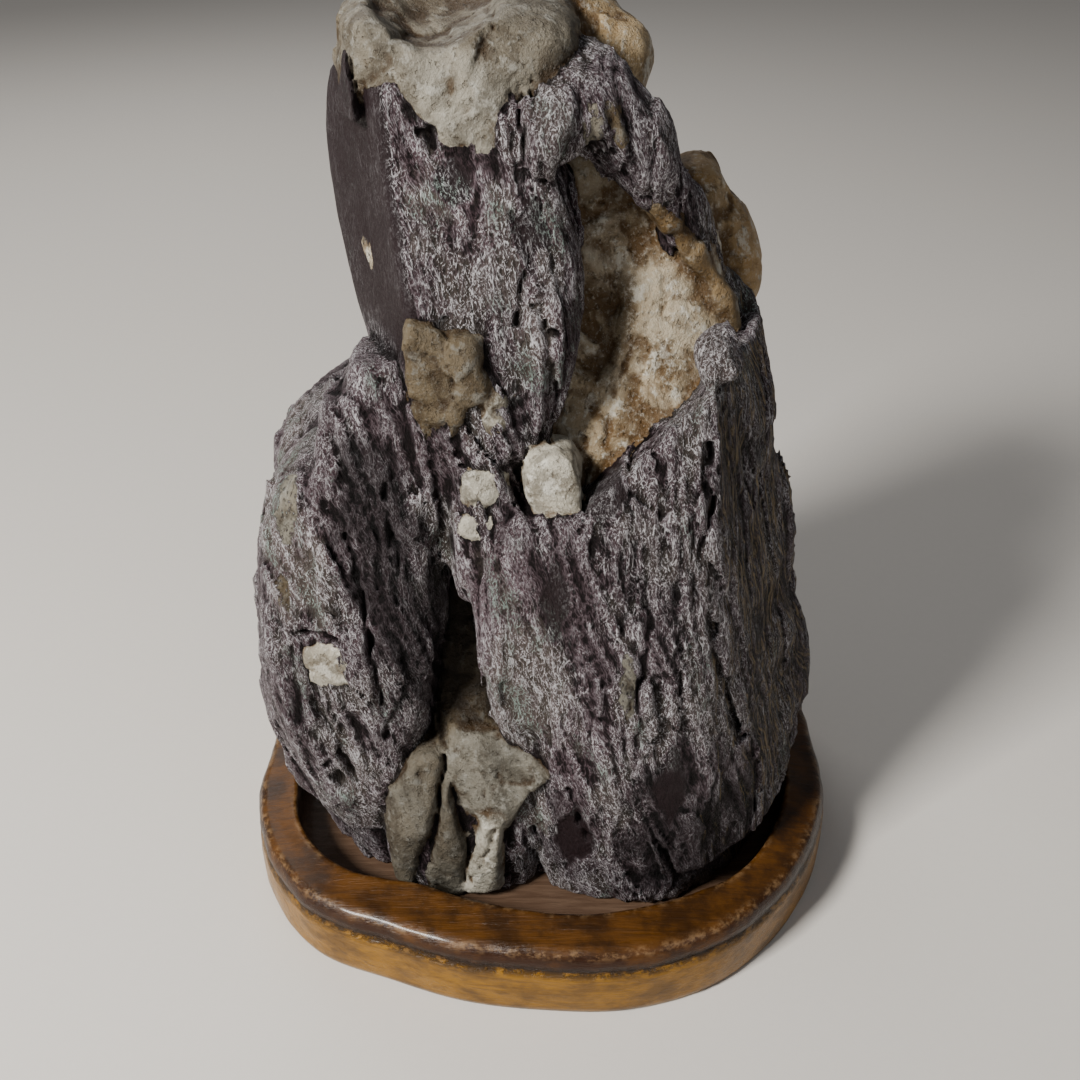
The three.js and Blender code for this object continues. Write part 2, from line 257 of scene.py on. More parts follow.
SLATE_MASSES = {
    "neck": Mass(Column((
        (95, -30, 2, -34, 25), (118, -31, 2, -37, 24), (126, -31.5, 2.5, -39, 24),
        (133, -33.4, 5, -39, 24), (143, -35.2, 7, -38.4, 22), (150, -36.8, 7.3, -36.8, 21),
        (160, -39, 7, -34.8, 19), (168, -39.8, 5.5, -33, 18), (176, -40, 2.3, -31, 16),
        (184, -38.8, 0, -30.2, 14), (187.5, -37.6, -2, -29.4, 13), (190, -35, -3, -26, 12)),
        square=6, end=3, faces=((*NECK_FACET, 39.2),), rounding=0.8)),
    "spike": Mass(Column((
        (182, -35.6, -31, -30, -8), (186.5, -35, -31.4, -30, -8), (188, -34.4, -31.9, -30, -8),
        (193, -33.4, -32.4, -29, -8)),
        square=6, end=0.6, faces=((*NECK_FACET, 42.0),), rounding=0.4), blend=0.5),
    "cap_flake": Mass(Lump((-24.5, -28.2, 187), (3, 2.2, 2.6), square=2.4), blend=1),
    "left_buttress": Mass(Column((
        (8, -58, -31, -34, 30), (22, -60, -31, -37, 32), (40, -60.5, -27, -41, 35),
        (62, -61.5, -20, -43.5, 34), (80, -60.5, -19, -43.5, 30), (90, -59.5, -19, -41.5, 26),
        (97, -58.5, -19, -40.7, 22), (105, -57.5, -19, -39.7, 19), (111, -55, -19, -39.2, 16),
        (116, -50.5, -19.2, -38.7, 14), (120, -46.5, -19.5, -38, 12), (125, -40.5, -21, -37, 5),
        (133, -34, -23, -36, 0)),
        square=4.5, faces=((-0.75, -0.60, -0.32, 47),), rounding=3), blend=2),
    "left_crag": Mass(Column((
        (118, -42, -24, -38, -14), (128, -40, -24, -37.5, -15), (136, -36.4, -25, -36.5, -18),
        (140.6, -35, -26.5, -35, -20)), square=4, end=1.2), blend=1),
    "left_crag_step": Mass(Column((
        (112, -46, -34, -37.5, -14), (126, -43.4, -34, -36, -16), (131.6, -41.6, -35.5, -34.5, -18)),
        square=4, end=1), blend=1),
    "left_knee": Mass(Lump((-46.5, -26, 108), (6, 9, 7.5), square=3.2, tilt=-20), blend=3),
    "right_buttress": Mass(Column((
        (8, -6, 57, -44, 38), (25, -8, 64, -48, 42), (50, -10, 64, -50, 42),
        (75, -11, 59, -49, 38), (95, -11, 54, -47, 34), (110, -9, 48.6, -45, 30),
        (125, -4, 45.2, -41, 28), (139.5, 2, 43.5, -38, 26)),
        square=3.4, end=2.5,
        faces=((-0.70, 0.22, 0.69, 64.5), (*RIGHT_FLANK, 64.9), (0.69, -0.725, 0.08, 62.6),
               (0.40, -0.91, 0.08, 60.6), (0.57, -0.82, -0.50, 49)))),
    "right_lip": Mass(Column((
        (54, -8, 12, -43, -10), (64, -12, 12, -45.5, -10), (78, -14, 12, -46.3, -10),
        (95, -13.6, 12, -45.3, -10), (107, -11.5, 10, -44.3, -10), (113, -7, 8, -43, -10)),
        square=5, end=2), blend=2.5),
    "right_crest_knob": Mass(Lump(
        (32.3, -31, 141), (5.4, 6.5, 5.5), square=2.7, tilt=-14,
        faces=((0.60, -0.50, 0.62, 126.6), (-0.70, -0.50, 0.50, 67.2)), rounding=2.5), blend=2),
    "toe": Mass(Lump((25, -40, 15), (8.5, 7.5, 6), square=2.6), blend=2),
    "back_body": Mass(Column((
        (8, -50, 52, -10, 40), (40, -55, 57, -10, 43), (80, -52, 52, -12, 38),
        (115, -40, 42, -12, 31), (145, -31, 36, -10, 24), (165, -28, 22, -8, 18),
        (182, -22, 10, -6, 14)), square=2.8, end=8), blend=6),
    "back_left_rib": Mass(Column((
        (8, -42, -12, 8, 45), (50, -45, -10, 8, 46), (95, -37, -8, 8, 38),
        (130, -29, -9, 6, 31), (158, -24, -10, 4, 23)),
        square=2.6, end=6, faces=((-0.35, 0.92, 0.15, 57),)), blend=4),
    "back_right_rib": Mass(Column((
        (8, 9, 46, 6, 42), (45, 8, 49, 6, 45), (85, 5, 43, 5, 40),
        (118, 3, 36, 3, 33), (146, 2, 30, 2, 26)), square=2.6, end=5), blend=4),
    "middle_strip": Mass(Column((
        (84, -17, -6, -30, 10), (90, -18.3, -6, -38, 10), (100, -18.6, -5, -40.6, 10),
        (112, -18.6, -4, -40.6, 10), (125, -18, -3, -39.5, 10), (142, -18, -2, -37.5, 10)),
        square=4, end=3), blend=2),
    "foot_web": Mass(Column((
        (8, -37, 0, -41, 0), (24, -37, 0, -43.8, 0), (36, -36, 0, -43.4, 0),
        (43, -33, -2, -41, 0), (48, -29, -4, -37, 0), (56, -24, -6, -29, 0),
        (70, -22, -8, -20, 0)), square=5, end=4), blend=2),
    "shoulder_tip": Mass(Lump((6, -19.5, 188), (3.3, 4.5, 5.6), square=2.8, tilt=-12), blend=1.5),
    "shoulder": Mass(Ridge((
        (-3, -25.5, 180, 7.0), (5, -24, 183.5, 7.4), (8.5, -22, 184, 7.2),
        (13.5, -20, 178, 7.4), (17, -18.5, 174, 7.0), (21.5, -15.5, 168, 6.0),
        (25.5, -12, 161.5, 4.8), (29.5, -9, 155, 3.8), (34, -6, 147, 3.4), (38, -3, 139, 4.2),
        (40, 0, 129, 5.5), (42, 2, 117, 6)))),
}

# Quartz that stands proud of the slate or behind it.
QUARTZ_MASSES = {
    "hollow_core": Mass(Column((
        (98, -6, 30, -34, 10), (110, -6, 32, -32.5, 12), (125, -4, 36, -28.5, 15),
        (140, -2, 38, -21.5, 18), (155, 0, 34, -16, 18), (168, 0, 24, -14, 15),
        (178, 0, 14, -12, 10)), square=3, end=4), blend=2, stain=0.47, tone=1.06),
    "hollow_lip": Mass(Ridge((
        (17, -21, 170, 1.4), (22.4, -18.6, 163, 2.3), (25.4, -17, 159.4, 1.6),
        (28.6, -15.8, 154.6, 2.6), (32, -14.6, 149.6, 1.8), (35, -13.9, 144, 2.4),
        (37, -13.4, 139, 1.6))), blend=0.8, stain=0.85, tone=0.46),
    "cap": Mass(Lump(
        (-14.8, -9.5, 191.4), (20.9, 19.5, 8.4), square=4.5, faces=((*NECK_FACET, 40.5),)),
        blend=1, stain=0.36, tone=0.42),
    "cap_back": Mass(Lump((-5, 5, 190), (20, 11, 8.8), square=3.4),
        blend=1.5, stain=0.75, tone=0.85),
    "cap_tongue": Mass(Column((
        (176.5, -16, -5, -30, -12), (180, -19.5, -4.8, -31.3, -12),
        (187, -25, -4.4, -31, -12), (194, -29, -2, -29.4, -12)), square=4, end=2.5), stain=0.16,
        tone=0.70),
    "cap_knob": Mass(Lump((-1.2, -16.5, 191.2), (7.2, 10.5, 7.2), square=3.2),
        blend=2.5, stain=0.52, tone=0.27),
    "ochre_block": Mass(Lump((10.5, 1, 184.5), (9.3, 9, 10), square=3.0, tilt=12),
        blend=2.5, stain=0.78, tone=0.95),
    "ochre_upper_lobe": Mass(Lump((30.5, 12, 157), (7, 10, 8), square=2.7, tilt=-20),
        blend=3, stain=0.95),
    "ochre_lower_lobe": Mass(Lump((38, 13, 145), (7.4, 11, 12.5), square=2.4, tilt=-20),
        blend=3.5, stain=0.95),
    "pale_pebble": Mass(Column((
        (108.5, 1.5, 6.5, -41.5, -28), (113, -2.5, 8, -42.6, -28), (119, -4, 7.6, -42.2, -28),
        (124.5, -2.8, 5.6, -40.6, -28)), square=3.6, end=2.5), blend=1, stain=0.1, tone=1.15),
    "neck_block": Mass(Column((
        (126, -22, -18, -38, -25), (132, -24, -14, -40.6, -25), (140, -24.6, -13.5, -41, -25),
        (146, -24.8, -14, -40.4, -25), (149.6, -24.4, -15.5, -39, -25)),
        square=7, end=0.8, faces=((-0.40, -0.91, 0.08, 57.6), (0.25, 0.0, 0.97, 139.6)),
        rounding=0.6), blend=0.6, stain=0.70, tone=0.32),
    "neck_block_side": Mass(Lump((-14, -37, 141.3), (3.6, 4.6, 6.8), square=4,
        tilt=-14), blend=0.6, stain=0.55, tone=0.33),
    "square_pod": Mass(Lump((-43.8, -38.9, 77.3), (4.8, 5.2, 5.4), square=5, tilt=-5),
        blend=1, stain=0.16, tone=1.05),
    "upper_bead": Mass(Lump((-11.3, -37, 117.3), (4.4, 5.2, 4.6), square=3, tilt=15),
        blend=1.5, stain=0.12),
    "lower_bead": Mass(Lump((-12, -37.2, 109.3), (5.2, 5.2, 3.4), square=3, tilt=-10),
        blend=1.5, stain=0.08),
    "strip_bead": Mass(Lump((-8.6, -36, 133), (2.6, 4.5, 4.4), square=3),
        blend=1, stain=0.30, tone=0.7),
    # The tooth's low tone is partly its own brown and partly painted shade under the slate's
    # overhang.
    "foot_tooth": Mass(Column((
        (14, -33.6, -28.8, -43.2, -28), (23, -34.6, -27.2, -44.8, -28),
        (34, -35.4, -23.6, -45.6, -28), (42, -34, -21.9, -44.6, -28), (51, -28, -21.4, -41.6, -28)),
        square=4, end=2, faces=((-0.5, -0.86, 0.0, 54.8),)), blend=1, stain=0.38, tone=0.29),
    "foot_strip": Mass(Column((
        (9, -28, -17.2, -43.4, -20), (18, -27, -16.8, -45, -20), (27, -24.6, -16.6, -45.6, -20),
        (35, -22.6, -18.6, -45.6, -20), (43, -21.8, -20.2, -44.6, -20)), square=5, end=2),
        blend=1.5, stain=0.30, tone=0.27),
    "foot_prong": Mass(Column((
        (12, -18.6, -8.6, -44.8, -30), (19, -17.4, -8.8, -45.8, -30), (27, -15, -8.8, -46.5, -30),
        (36, -14, -8, -46.8, -30)), square=4, end=2), blend=1, stain=0.10, tone=0.98),
    "foot_sheet": Mass(Column((
        (28, -19, -9, -46.4, -26), (35, -20.6, -6.2, -47, -28), (41, -21.4, -3.2, -47.3, -28),
        (47, -21.4, 0.6, -47.2, -31), (51, -21, 2.2, -46.4, -34), (54, -20.5, -3, -45, -35),
        (56.5, -20, -8, -43.6, -34)),
        square=5, end=1.5, faces=((-0.256, -0.966, 0.048, 46.8), (-0.16, -0.70, 0.69, 69.6))),
        blend=1, stain=0.20, tone=0.42),
    # Painted shade: the back of the cavity gets a very low tone that stands for the shadow deep in
    # the cavity; its brown stain is the quartz's own.
    "cavity_back_painted_shade": Mass(Column((
        (44, -24, -6, -38, -6), (52, -24, -7, -38.5, -6), (58, -24, -8, -36.5, -6),
        (65, -23, -9, -30.5, -6), (77, -22, -10, -27, -6), (87, -20, -11, -26, -6)),
        square=4, end=2), blend=2, stain=0.80, tone=0.09),
}

# Quartz that lies level with the slate round it.
INLAYS = {
    "back_vein": Mass(Ridge((
        (34, 18, 145, 9), (29, 26, 131, 5), (19, 33, 117, 8), (14, 37, 100, 4.5),
        (1, 40, 88, 6.5), (-4, 42, 66, 3), (-15, 44, 52, 6), (-24, 45, 34, 2.5))),
        blend=2, stain=0.6),
    **{name: Mass(Lump(centre, half, square=2.4, tilt=tilt), 1, stain, tone)
      for name, centre, half, tilt, stain, tone in (
        ("left_patch", (-49.3, -34.8, 109.5), (2.6, 4, 8.2), 6, 0.22, 0.42),
        ("left_fleck", (-50.8, -37.3, 90.5), (2.1, 4, 7.2), -4, 0.40, 0.38),
        ("face_lens", (17.2, -47.8, 76), (1.8, 2.8, 8.5), -3, 0.25, 0.36),
        ("shoulder_lens", (8.4, -29.4, 181.5), (1.8, 2.2, 4.6), -6, 0.30, 0.42),
        ("shoulder_streak", (12.2, -26.4, 182), (1.6, 4, 5), -24, 0.75, 0.36),
        ("facet_fleck", (-31.6, -23.5, 157.5), (1.3, 2.6, 3.6), -24, 0.45, 1.0),
    )},
}

# Hollows cut into slate and quartz alike.
HOLLOWS = (
    Ridge(((7.5, -21, 172, 2.6), (9, -20.5, 164, 4.2), (10, -20.5, 155, 5.3),
           (10, -21, 146, 5.5), (9.5, -24, 137, 4.4))),
    Lump((-18, -20, 206), (12.5, 26, 12), square=2.2),
    Lump((-27.5, -14, 201), (3, 6, 4.5), square=2),
    Ridge(((-3.4, -31.5, 187, 0.8), (-4.2, -32.4, 180, 1.2))),
)

# Gully between the buttresses, cut into the slate only.
GULLY = Ridge((
    (-18.2, -41.5, 124, 0.8), (-18.6, -41.5, 108, 1.4), (-18.6, -40, 94, 2.0),
    (-17.6, -38, 82, 4.4), (-16.2, -34, 71, 7.4), (-16.4, -34, 60, 8), (-18, -40, 54, 5)))


@dataclass(frozen=True)
class Crack:
    """Dark open crack down the front, along (x, z), with its half width and its depth in mm."""

    path: tuple[tuple[float, float], ...]
    width: float
    depth: float

    def opening(self, x: Array, z: Array, gape: Array) -> Array:
        """Depth of the crack at each point, in mm, where it gapes by a share of its width.

        Args:
            x: Places across the front, in mm.
            z: Heights in mm.
            gape: Shares of the crack's width.

        Returns:
            The depths in mm.
        """
        nearest = np.full(len(x), 1e3)
        for (x0, z0), (x1, z1) in zip(self.path[:-1], self.path[1:]):
            dx, dz = x1 - x0, z1 - z0
            t = np.clip(((x - x0) * dx + (z - z0) * dz) / (dx * dx + dz * dz), 0, 1)
            nearest = np.minimum(nearest, np.hypot(x - x0 - t * dx, z - z0 - t * dz))
        return self.depth * np.clip(gape - nearest / self.width, 0, 1)


# Small smooth split faces on the front, as (x, z, half width, half height).
PLATES = (
    (11.5, 118, 5.5, 7.5), (2.5, 96, 3.6, 10), (6.8, 31, 5.5, 11), (-15, 173, 4.5, 6),
    (-2, 165, 4, 7), (27, 50, 4.5, 12),
)

# Darker, less scuffed spots, and lighter, dustier ones where the strength is below nought,
# as (x, z, half width, half height, strength). They are partly fresh and dusty slate and partly
# painted light: the strongest dark spots, on the right half of the left buttress and low on the
# right buttress, are painted shade, and the strong light spot high on the left buttress is a
# painted pool of light.
FRESH_AND_PAINTED_SHADING_SPOTS = (
    (-29.5, 94, 9, 36, 1.2), (34, 26, 16, 26, 1.2), (52, 60, 12, 50, 0.3), (5, 30, 7, 14, 0.6),
    (-8, 100, 4, 12, 0.4), (40, 118, 10, 14, 0.5), (16, 178, 8, 6, 0.4), (21, 100, 7, 16, 0.45),
    (-5, 80, 9, 26, -0.9), (8, 60, 7, 16, -0.5), (-16, 171, 9, 8, -0.8), (-1, 147, 4, 10, -0.7),
    (-41, 45, 6, 14, -0.4), (-50, 104, 7, 18, -1.2), (-4, 38, 6, 9, -0.9), (-25, 60, 5, 12, 0.5),
)

CRACKS = (
    Crack(((33, 91), (35, 80), (38.5, 66), (43, 54)), 1.3, 4.0),
    Crack(((30.5, 126), (31.5, 112), (30.5, 100)), 1.0, 2.2),
    Crack(((20, 106), (20.5, 90), (19.5, 76), (21, 61)), 1.1, 2.4),
    Crack(((25.5, 100), (27, 86), (27.5, 70)), 1.0, 1.8),
    Crack(((-39, 106), (-35.5, 92), (-34, 74), (-33, 58)), 1.2, 2.6),
    Crack(((-30, 118), (-28.5, 104), (-29.5, 88)), 1.1, 2.2),
    Crack(((-49.5, 85), (-45, 84.6), (-41, 84)), 1.0, 2.2),
    Crack(((-47, 69), (-43, 52), (-40.5, 43)), 1.2, 2.4),
    Crack(((-17, 150.5), (-17.6, 145.5), (-16.2, 139)), 0.7, 1.4),
    Crack(((-45.5, 49), (-42.5, 43)), 2.4, 3.6),
    Crack(((-5, 168), (-2.5, 160), (-4.5, 149)), 0.9, 2.0),
    Crack(((-2, 172), (1.5, 164), (2.5, 156)), 0.9, 1.6),
    Crack(((-1, 152), (1.5, 147)), 1.5, 2.4),
    Crack(((-20.3, 181), (-19, 178.5)), 1.5, 3.0),
    Crack(((8.2, 122), (8.4, 114), (6.5, 110)), 0.9, 2.5),
    Crack(((-21.2, 50), (-22.2, 42), (-23.6, 33)), 0.6, 1.6),
    Crack(((-10.5, 34), (-13.5, 22), (-16, 16)), 0.8, 2.2),
    Crack(((4.5, 47), (8, 41), (10, 33)), 1.3, 2.4),
    Crack(((-2, 30), (0.5, 22)), 1.0, 2.0),
    Crack(((17, 138), (14, 130), (11.5, 121)), 0.9, 1.2),
)


# ---- Noise -----------------------------------------------------------------------------------

@dataclass
class Grain:
    """Seeded gradient noise on a lattice that repeats every 32 cells."""

    seed: int
    cells: int = 32
    gradients: Array = field(init=False, repr=False)

    def __post_init__(self) -> None:
        """Draw the lattice's unit gradients."""
        rng = np.random.default_rng(self.seed)
        drawn = rng.normal(size=(self.cells ** 3, 3))
        self.gradients = (drawn / np.linalg.norm(drawn, axis=1, keepdims=True)).astype(np.float32)

    def at(self, x: Array, y: Array, z: Array) -> Array:
        """Noise from about -1 to 1.

        Args:
            x: First coordinates, in cells.
            y: Second coordinates, in cells.
            z: Third coordinates, in cells.

        Returns:
            The noise at each point.
        """
        axes = [np.asarray(v, dtype=np.float32) for v in (x, y, z)]
        whole = [np.floor(v).astype(np.int32) for v in axes]
        part = [v - w for v, w in zip(axes, whole)]
        fade = [t * t * t * (t * (t * 6 - 15) + 10) for t in part]
        total = np.zeros(len(axes[0]), dtype=np.float32)
        for corner in np.ndindex(2, 2, 2):
            index = np.zeros(len(total), dtype=np.int32)
            weight = np.ones(len(total), dtype=np.float32)
            for cell, step, blend in zip(whole, corner, fade):
                index = index * self.cells + (cell + step) % self.cells
                weight = weight * (blend if step else 1 - blend)
            slope = self.gradients[index]
            dot = sum(slope[:, i] * (part[i] - corner[i]) for i in range(3))
            total += weight * dot
        return total * 1.6


@dataclass
class Splinters:
    """Seeded field of long splinters, each a little out of line with its neighbours."""

    seed: int
    width: float
    length: float
    tilt: float = 0.9
    draws: Array = field(init=False, repr=False)

    def __post_init__(self) -> None:
        """Draw each splinter's place, level and tilt."""
        self.draws = np.random.default_rng(self.seed).random((4096, 6)).astype(np.float32)

    def at(self, u: Array, v: Array, w: Array) -> tuple[Array, Array]:
        """Level and seam distance of the nearest splinter.

        Args:
            u: First level coordinates in mm.
            v: Second level coordinates in mm.
            w: Coordinates along the splinters in mm.

        Returns:
            Levels from about -1 to 1, and distances to the nearest seam in widths.
        """
        q = np.stack([u / self.width, v / self.width, w / self.length], 1).astype(np.float32)
        home = np.floor(q).astype(np.int64)
        nearest = np.full(len(q), 9.0, dtype=np.float32)
        second, level = nearest.copy(), np.zeros(len(q), dtype=np.float32)
        for offset in np.ndindex(3, 3, 3):
            cell = home + (np.array(offset) - 1)
            pick = (cell[:, 0] * 73856093) ^ (cell[:, 1] * 19349663) ^ (cell[:, 2] * 83492791)
            draw = self.draws[pick & 4095]
            gap = q - cell - draw[:, :3]
            reach = (gap * gap).sum(1)
            closer = reach < nearest
            second = np.where(closer, nearest, np.minimum(second, reach))
            nearest = np.where(closer, reach, nearest)
            here = 2 * draw[:, 3] - 1 + self.tilt * (gap[:, 0] * (2 * draw[:, 4] - 1)
                                                     + gap[:, 2] * (2 * draw[:, 5] - 1))
            level = np.where(closer, here, level)
        return level, np.sqrt(second) - np.sqrt(nearest)


# ---- The stone's form ------------------------------------------------------------------------

@dataclass
class StoneForm:
    """The whole stone as a distance, with its relief, in mm round the middle of the stand."""

    foot: float = 10.3
    wall: float = 57.0
    rim_top: float = 21.0
    flare: float = 1.4
    inlay_depth: float = 0.15
    split_height: float = 2.2
    lean: float = 0.2
    broad: Grain = field(default_factory=lambda: Grain(3))
    furrows: Grain = field(default_factory=lambda: Grain(11))
    flakes: Grain = field(default_factory=lambda: Grain(37))
    swells: Grain = field(default_factory=lambda: Grain(53))
    slabs: Splinters = field(default_factory=lambda: Splinters(5, 9.0, 40.0))
    shards: Splinters = field(default_factory=lambda: Splinters(41, 8.0, 9.0, tilt=1.6))

    def masses(self, p: Array) -> tuple[Array, Array]:
        """Plain distances to the slate and to the quartz, before any relief.

        Args:
            p: Points in mm, one row each.

        Returns:
            The distances to the slate and to the quartz.
        """
        slate = self._grown(SLATE_MASSES, p)
        quartz = self._grown(QUARTZ_MASSES, p)
        slate = smooth_max(slate, -GULLY.distance(p), 2.0)
        for hollow in HOLLOWS:
            inside = -hollow.distance(p)
            slate = smooth_max(slate, inside, 1.5)
            quartz = smooth_max(quartz, inside, 1.5)
        return slate, quartz

    @staticmethod
    def _grown(masses: dict[str, Mass], p: Array) -> Array:
        """Distance to several masses grown together.

        Args:
            masses: The masses, by name.
            p: Points in mm, one row each.

        Returns:
            The distances in mm.
        """
        near = np.full(len(p), 1e3)
        for mass in masses.values():
            near = smooth_min(near, mass.shape.distance(p), mass.blend)
        return near

    def smooth_faces(self, p: Array) -> Array:
        """Share of smooth split face at each point: the neck's left facet and small plates.

        Args:
            p: Points in mm, one row each.

        Returns:
            Shares from 0 to 1.
        """
        x, y, z = p.T
        stray = self.flakes.at(x / 3, y / 3, z / 4.5)
        behind = along(p, NECK_FACET) + 0.6 * stray
        share = ramp(behind, 37.1, 38.3) * ramp(z, 138, 146)
        for plate_x, plate_z, half_x, half_z in PLATES:
            off = np.abs((x - plate_x) / half_x) + np.abs((z - plate_z) / half_z) + 0.45 * stray
            share = np.maximum(share, 0.8 * ramp(-off, -1.15, -0.8) * ramp(-y, 20, 28))
        return share

    def fresh_and_painted_shading(self, p: Array) -> Array:
        """Share of dark, hardly scuffed slate and of painted shade at each point, less than nought
        where it is dusty and where light is painted.

        Args:
            p: Points in mm, one row each.

        Returns:
            Shares from about -1 to 1.
        """
        x, z = p[:, 0], p[:, 2]
        stray = 0.55 * self.broad.at(x / 6, p[:, 1] / 6, z / 9)
        share = np.zeros(len(p))
        for spot_x, spot_z, half_x, half_z, strength in FRESH_AND_PAINTED_SHADING_SPOTS:
            off = np.hypot((x + self.lean * (z - spot_z) - spot_x) / half_x, (z - spot_z) / half_z)
            here = strength * ramp(-off - stray, -1.25, -0.65)
            share = np.where(np.abs(here) > np.abs(share), here, share)
        return share

    def unrest(self, p: Array) -> Array:
        """How rough the slate is at each point, from 0, smooth, to about 1.

        Args:
            p: Points in mm, one row each.

        Returns:
            The roughness at each point.
        """
        x, y, z = p.T
        neck = ramp(z, 136, 142) * ramp(-y, 20, 26) * ramp(x, -32, -28)
        front = ramp(x, -14, -8) * ramp(-x, -24, -10) * ramp(-z, -118, -104) * ramp(-y, 30, 36)
        calm = 0.5 * neck * ramp(-x, 1, 9) + 0.3 * front
        calm = np.maximum(calm, 0.35 * ramp(along(p, RIGHT_FLANK), 62.5, 65))
        patchy = 0.85 + 0.7 * self.broad.at(x / 13 + 9, y / 13, z / 24)
        return np.clip((1 - calm) * patchy, 0.15, 1.25) * (1 - 0.92 * self.smooth_faces(p))

    def shingles(self, u: Array, v: Array, z: Array, width: float, grain: Grain) -> Array:
        """Long overlapping flakes, each rising gently to a sharp free edge.

        Args:
            u: Coordinates across the flakes, in mm.
            v: Coordinates into the stone, in mm.
            z: Heights in mm.
            width: Usual width of a flake, in mm.
            grain: Noise that bends the flakes and makes them come and go.

        Returns:
            Heights from about -1 to 1.
        """
        bend = grain.at(u / (2.2 * width), v / (2.2 * width), z / (7 * width))
        curl = grain.at(u / (0.9 * width) + 9, v / (0.9 * width), z / (3.2 * width))
        place = (u + 0.6 * v) / width + 1.7 * bend + 0.35 * curl
        rise = place - np.floor(place)
        rise = np.where(rise > 0.9, (1 - rise) * 9, rise)
        strength = 0.62 + 0.6 * grain.at(u / (3 * width), v / (3 * width) + 5, z / (5 * width))
        return (2 * rise - 1) * np.clip(strength, 0.1, 1.2)

    def foliation(self, p: Array) -> Array:
        """Height of the slate's split surface over its plain masses, in mm.

        Args:
            p: Points in mm, one row each.

        Returns:
            The heights in mm.
        """
        x, y, z = p.T
        drift = (2.2 * self.broad.at(x / 15, y / 15, z / 26)
                 + 0.5 * self.broad.at(x / 4, y / 4, z / 9))
        u, v = x + self.lean * z + drift, y + 0.7 * drift
        slab, slab_seam = self.slabs.at(u, v, z)
        furrow = np.abs(self.furrows.at(u / 6, v / 6, z / 27)) - 0.3
        chip = self.furrows.at(u / 3.2, v / 3.2 + 7, z / 8)
        cut = (1.05 * slab - 0.5 * ramp(-slab_seam, -0.08, 0) + 1.4 * furrow + 0.35 * chip
               + 1.00 * self.shingles(u, v, z, 5.2, self.flakes)
               + 0.40 * self.shingles(u + 3, v, z, 2.3, self.furrows))
        facet = ramp(along(p, NECK_FACET), 28, 33) * ramp(z, 126, 138)
        heave = 2.6 * ramp(y, -34, -20) * self.broad.at(x / 15 + 4, y / 13, z / 19)
        height = self.split_height * np.tanh(cut / self.split_height)
        return self.unrest(p) * height + heave * (1 - facet)

    def cracks(self, p: Array) -> Array:
        """Depth of the open cracks at each point, in mm.

        Args:
            p: Points in mm, one row each.

        Returns:
            The depths in mm.
        """
        wander = 1.3 * self.broad.at(p[:, 0] / 4, p[:, 1] / 4, p[:, 2] / 7)
        gape = 0.75 + 0.7 * self.swells.at(p[:, 0] / 2, p[:, 1] / 5, p[:, 2] / 4.5)
        depth = np.zeros(len(p))
        for crack in CRACKS:
            depth = np.maximum(depth, crack.opening(p[:, 0] + wander, p[:, 2], gape))
        return depth * ramp(-p[:, 1], 12, 20)

    def swelling(self, p: Array) -> Array:
        """Height of the quartz's surface over its plain masses, in mm.

        Args:
            p: Points in mm, one row each.

        Returns:
            The heights in mm.
        """
        x, y, z = p.T
        drift = 1.5 * self.broad.at(x / 7, y / 7, z / 7)
        shard, seam = self.shards.at(x + drift, y, z + drift)
        folds = self.swells.at(x / 9, y / 9, z / 13)
        dents = np.abs(self.swells.at(x / 4.6 + 5, y / 4.6, z / 5.2)) - 0.3
        fine = self.furrows.at(x / 2.4, y / 2.4, z / 2.8)
        return (0.6 * folds + 0.45 * shard + 0.5 * dents + 0.22 * fine
                - 0.12 * ramp(-seam, -0.12, 0))

    def ragged(self, p: Array) -> Array:
        """How far the quartz's outline strays over the slate, in mm.

        Args:
            p: Points in mm, one row each.

        Returns:
            The distances in mm.
        """
        x, y, z = p.T
        return (0.9 * self.flakes.at(x / 3.4, y / 3.4, z / 4.4)
                + 0.6 * self.flakes.at(x / 1.7 + 3, y / 1.7, z / 2.4))

    def stone(self, p: Array) -> tuple[Array, Array]:
        """Distances to the slate and to the quartz with their relief, seated in the tray.

        Args:
            p: Points in mm, one row each.

        Returns:
            The distances to the slate and to the quartz.
        """
        slate, quartz = self.masses(p)
        open_cracks = self.cracks(p)
        split = slate < quartz + 5
        swollen = quartz < slate + 4
        slate[split] -= self.foliation(p[split])
        quartz[swollen] -= (self.swelling(p[swollen])
                            + self.ragged(p[swollen]) * ramp(-slate[swollen], -1.5, 0))
        inlay = self._grown(INLAYS, p)
        quartz = np.minimum(quartz, np.maximum(inlay - self.ragged(p), slate - self.inlay_depth))
        slate, quartz = slate + open_cracks, quartz + open_cracks
        spread = self.flare * np.maximum(p[:, 2] - self.rim_top, 0)
        wear = 1.0 + self.flakes.at(p[:, 0] / 5, p[:, 1] / 5, p[:, 2] / 6)
        wall = np.hypot(p[:, 0], p[:, 1]) - self.wall - spread + wear
        slate, quartz = smooth_max(slate, wall, 3.0), smooth_max(quartz, wall, 3.0)
        return np.maximum(slate, self.foot - p[:, 2]), np.maximum(quartz, self.foot - p[:, 2])

    def plain(self, p: Array) -> Array:
        """Distance to the stone before any relief."""
        return np.minimum(*self.masses(p))

    def distance(self, p: Array) -> Array:
        """Distance to the finished stone."""
        return np.minimum(*self.stone(p))


# ---- Net over a distance ---------------------------------------------------------------------

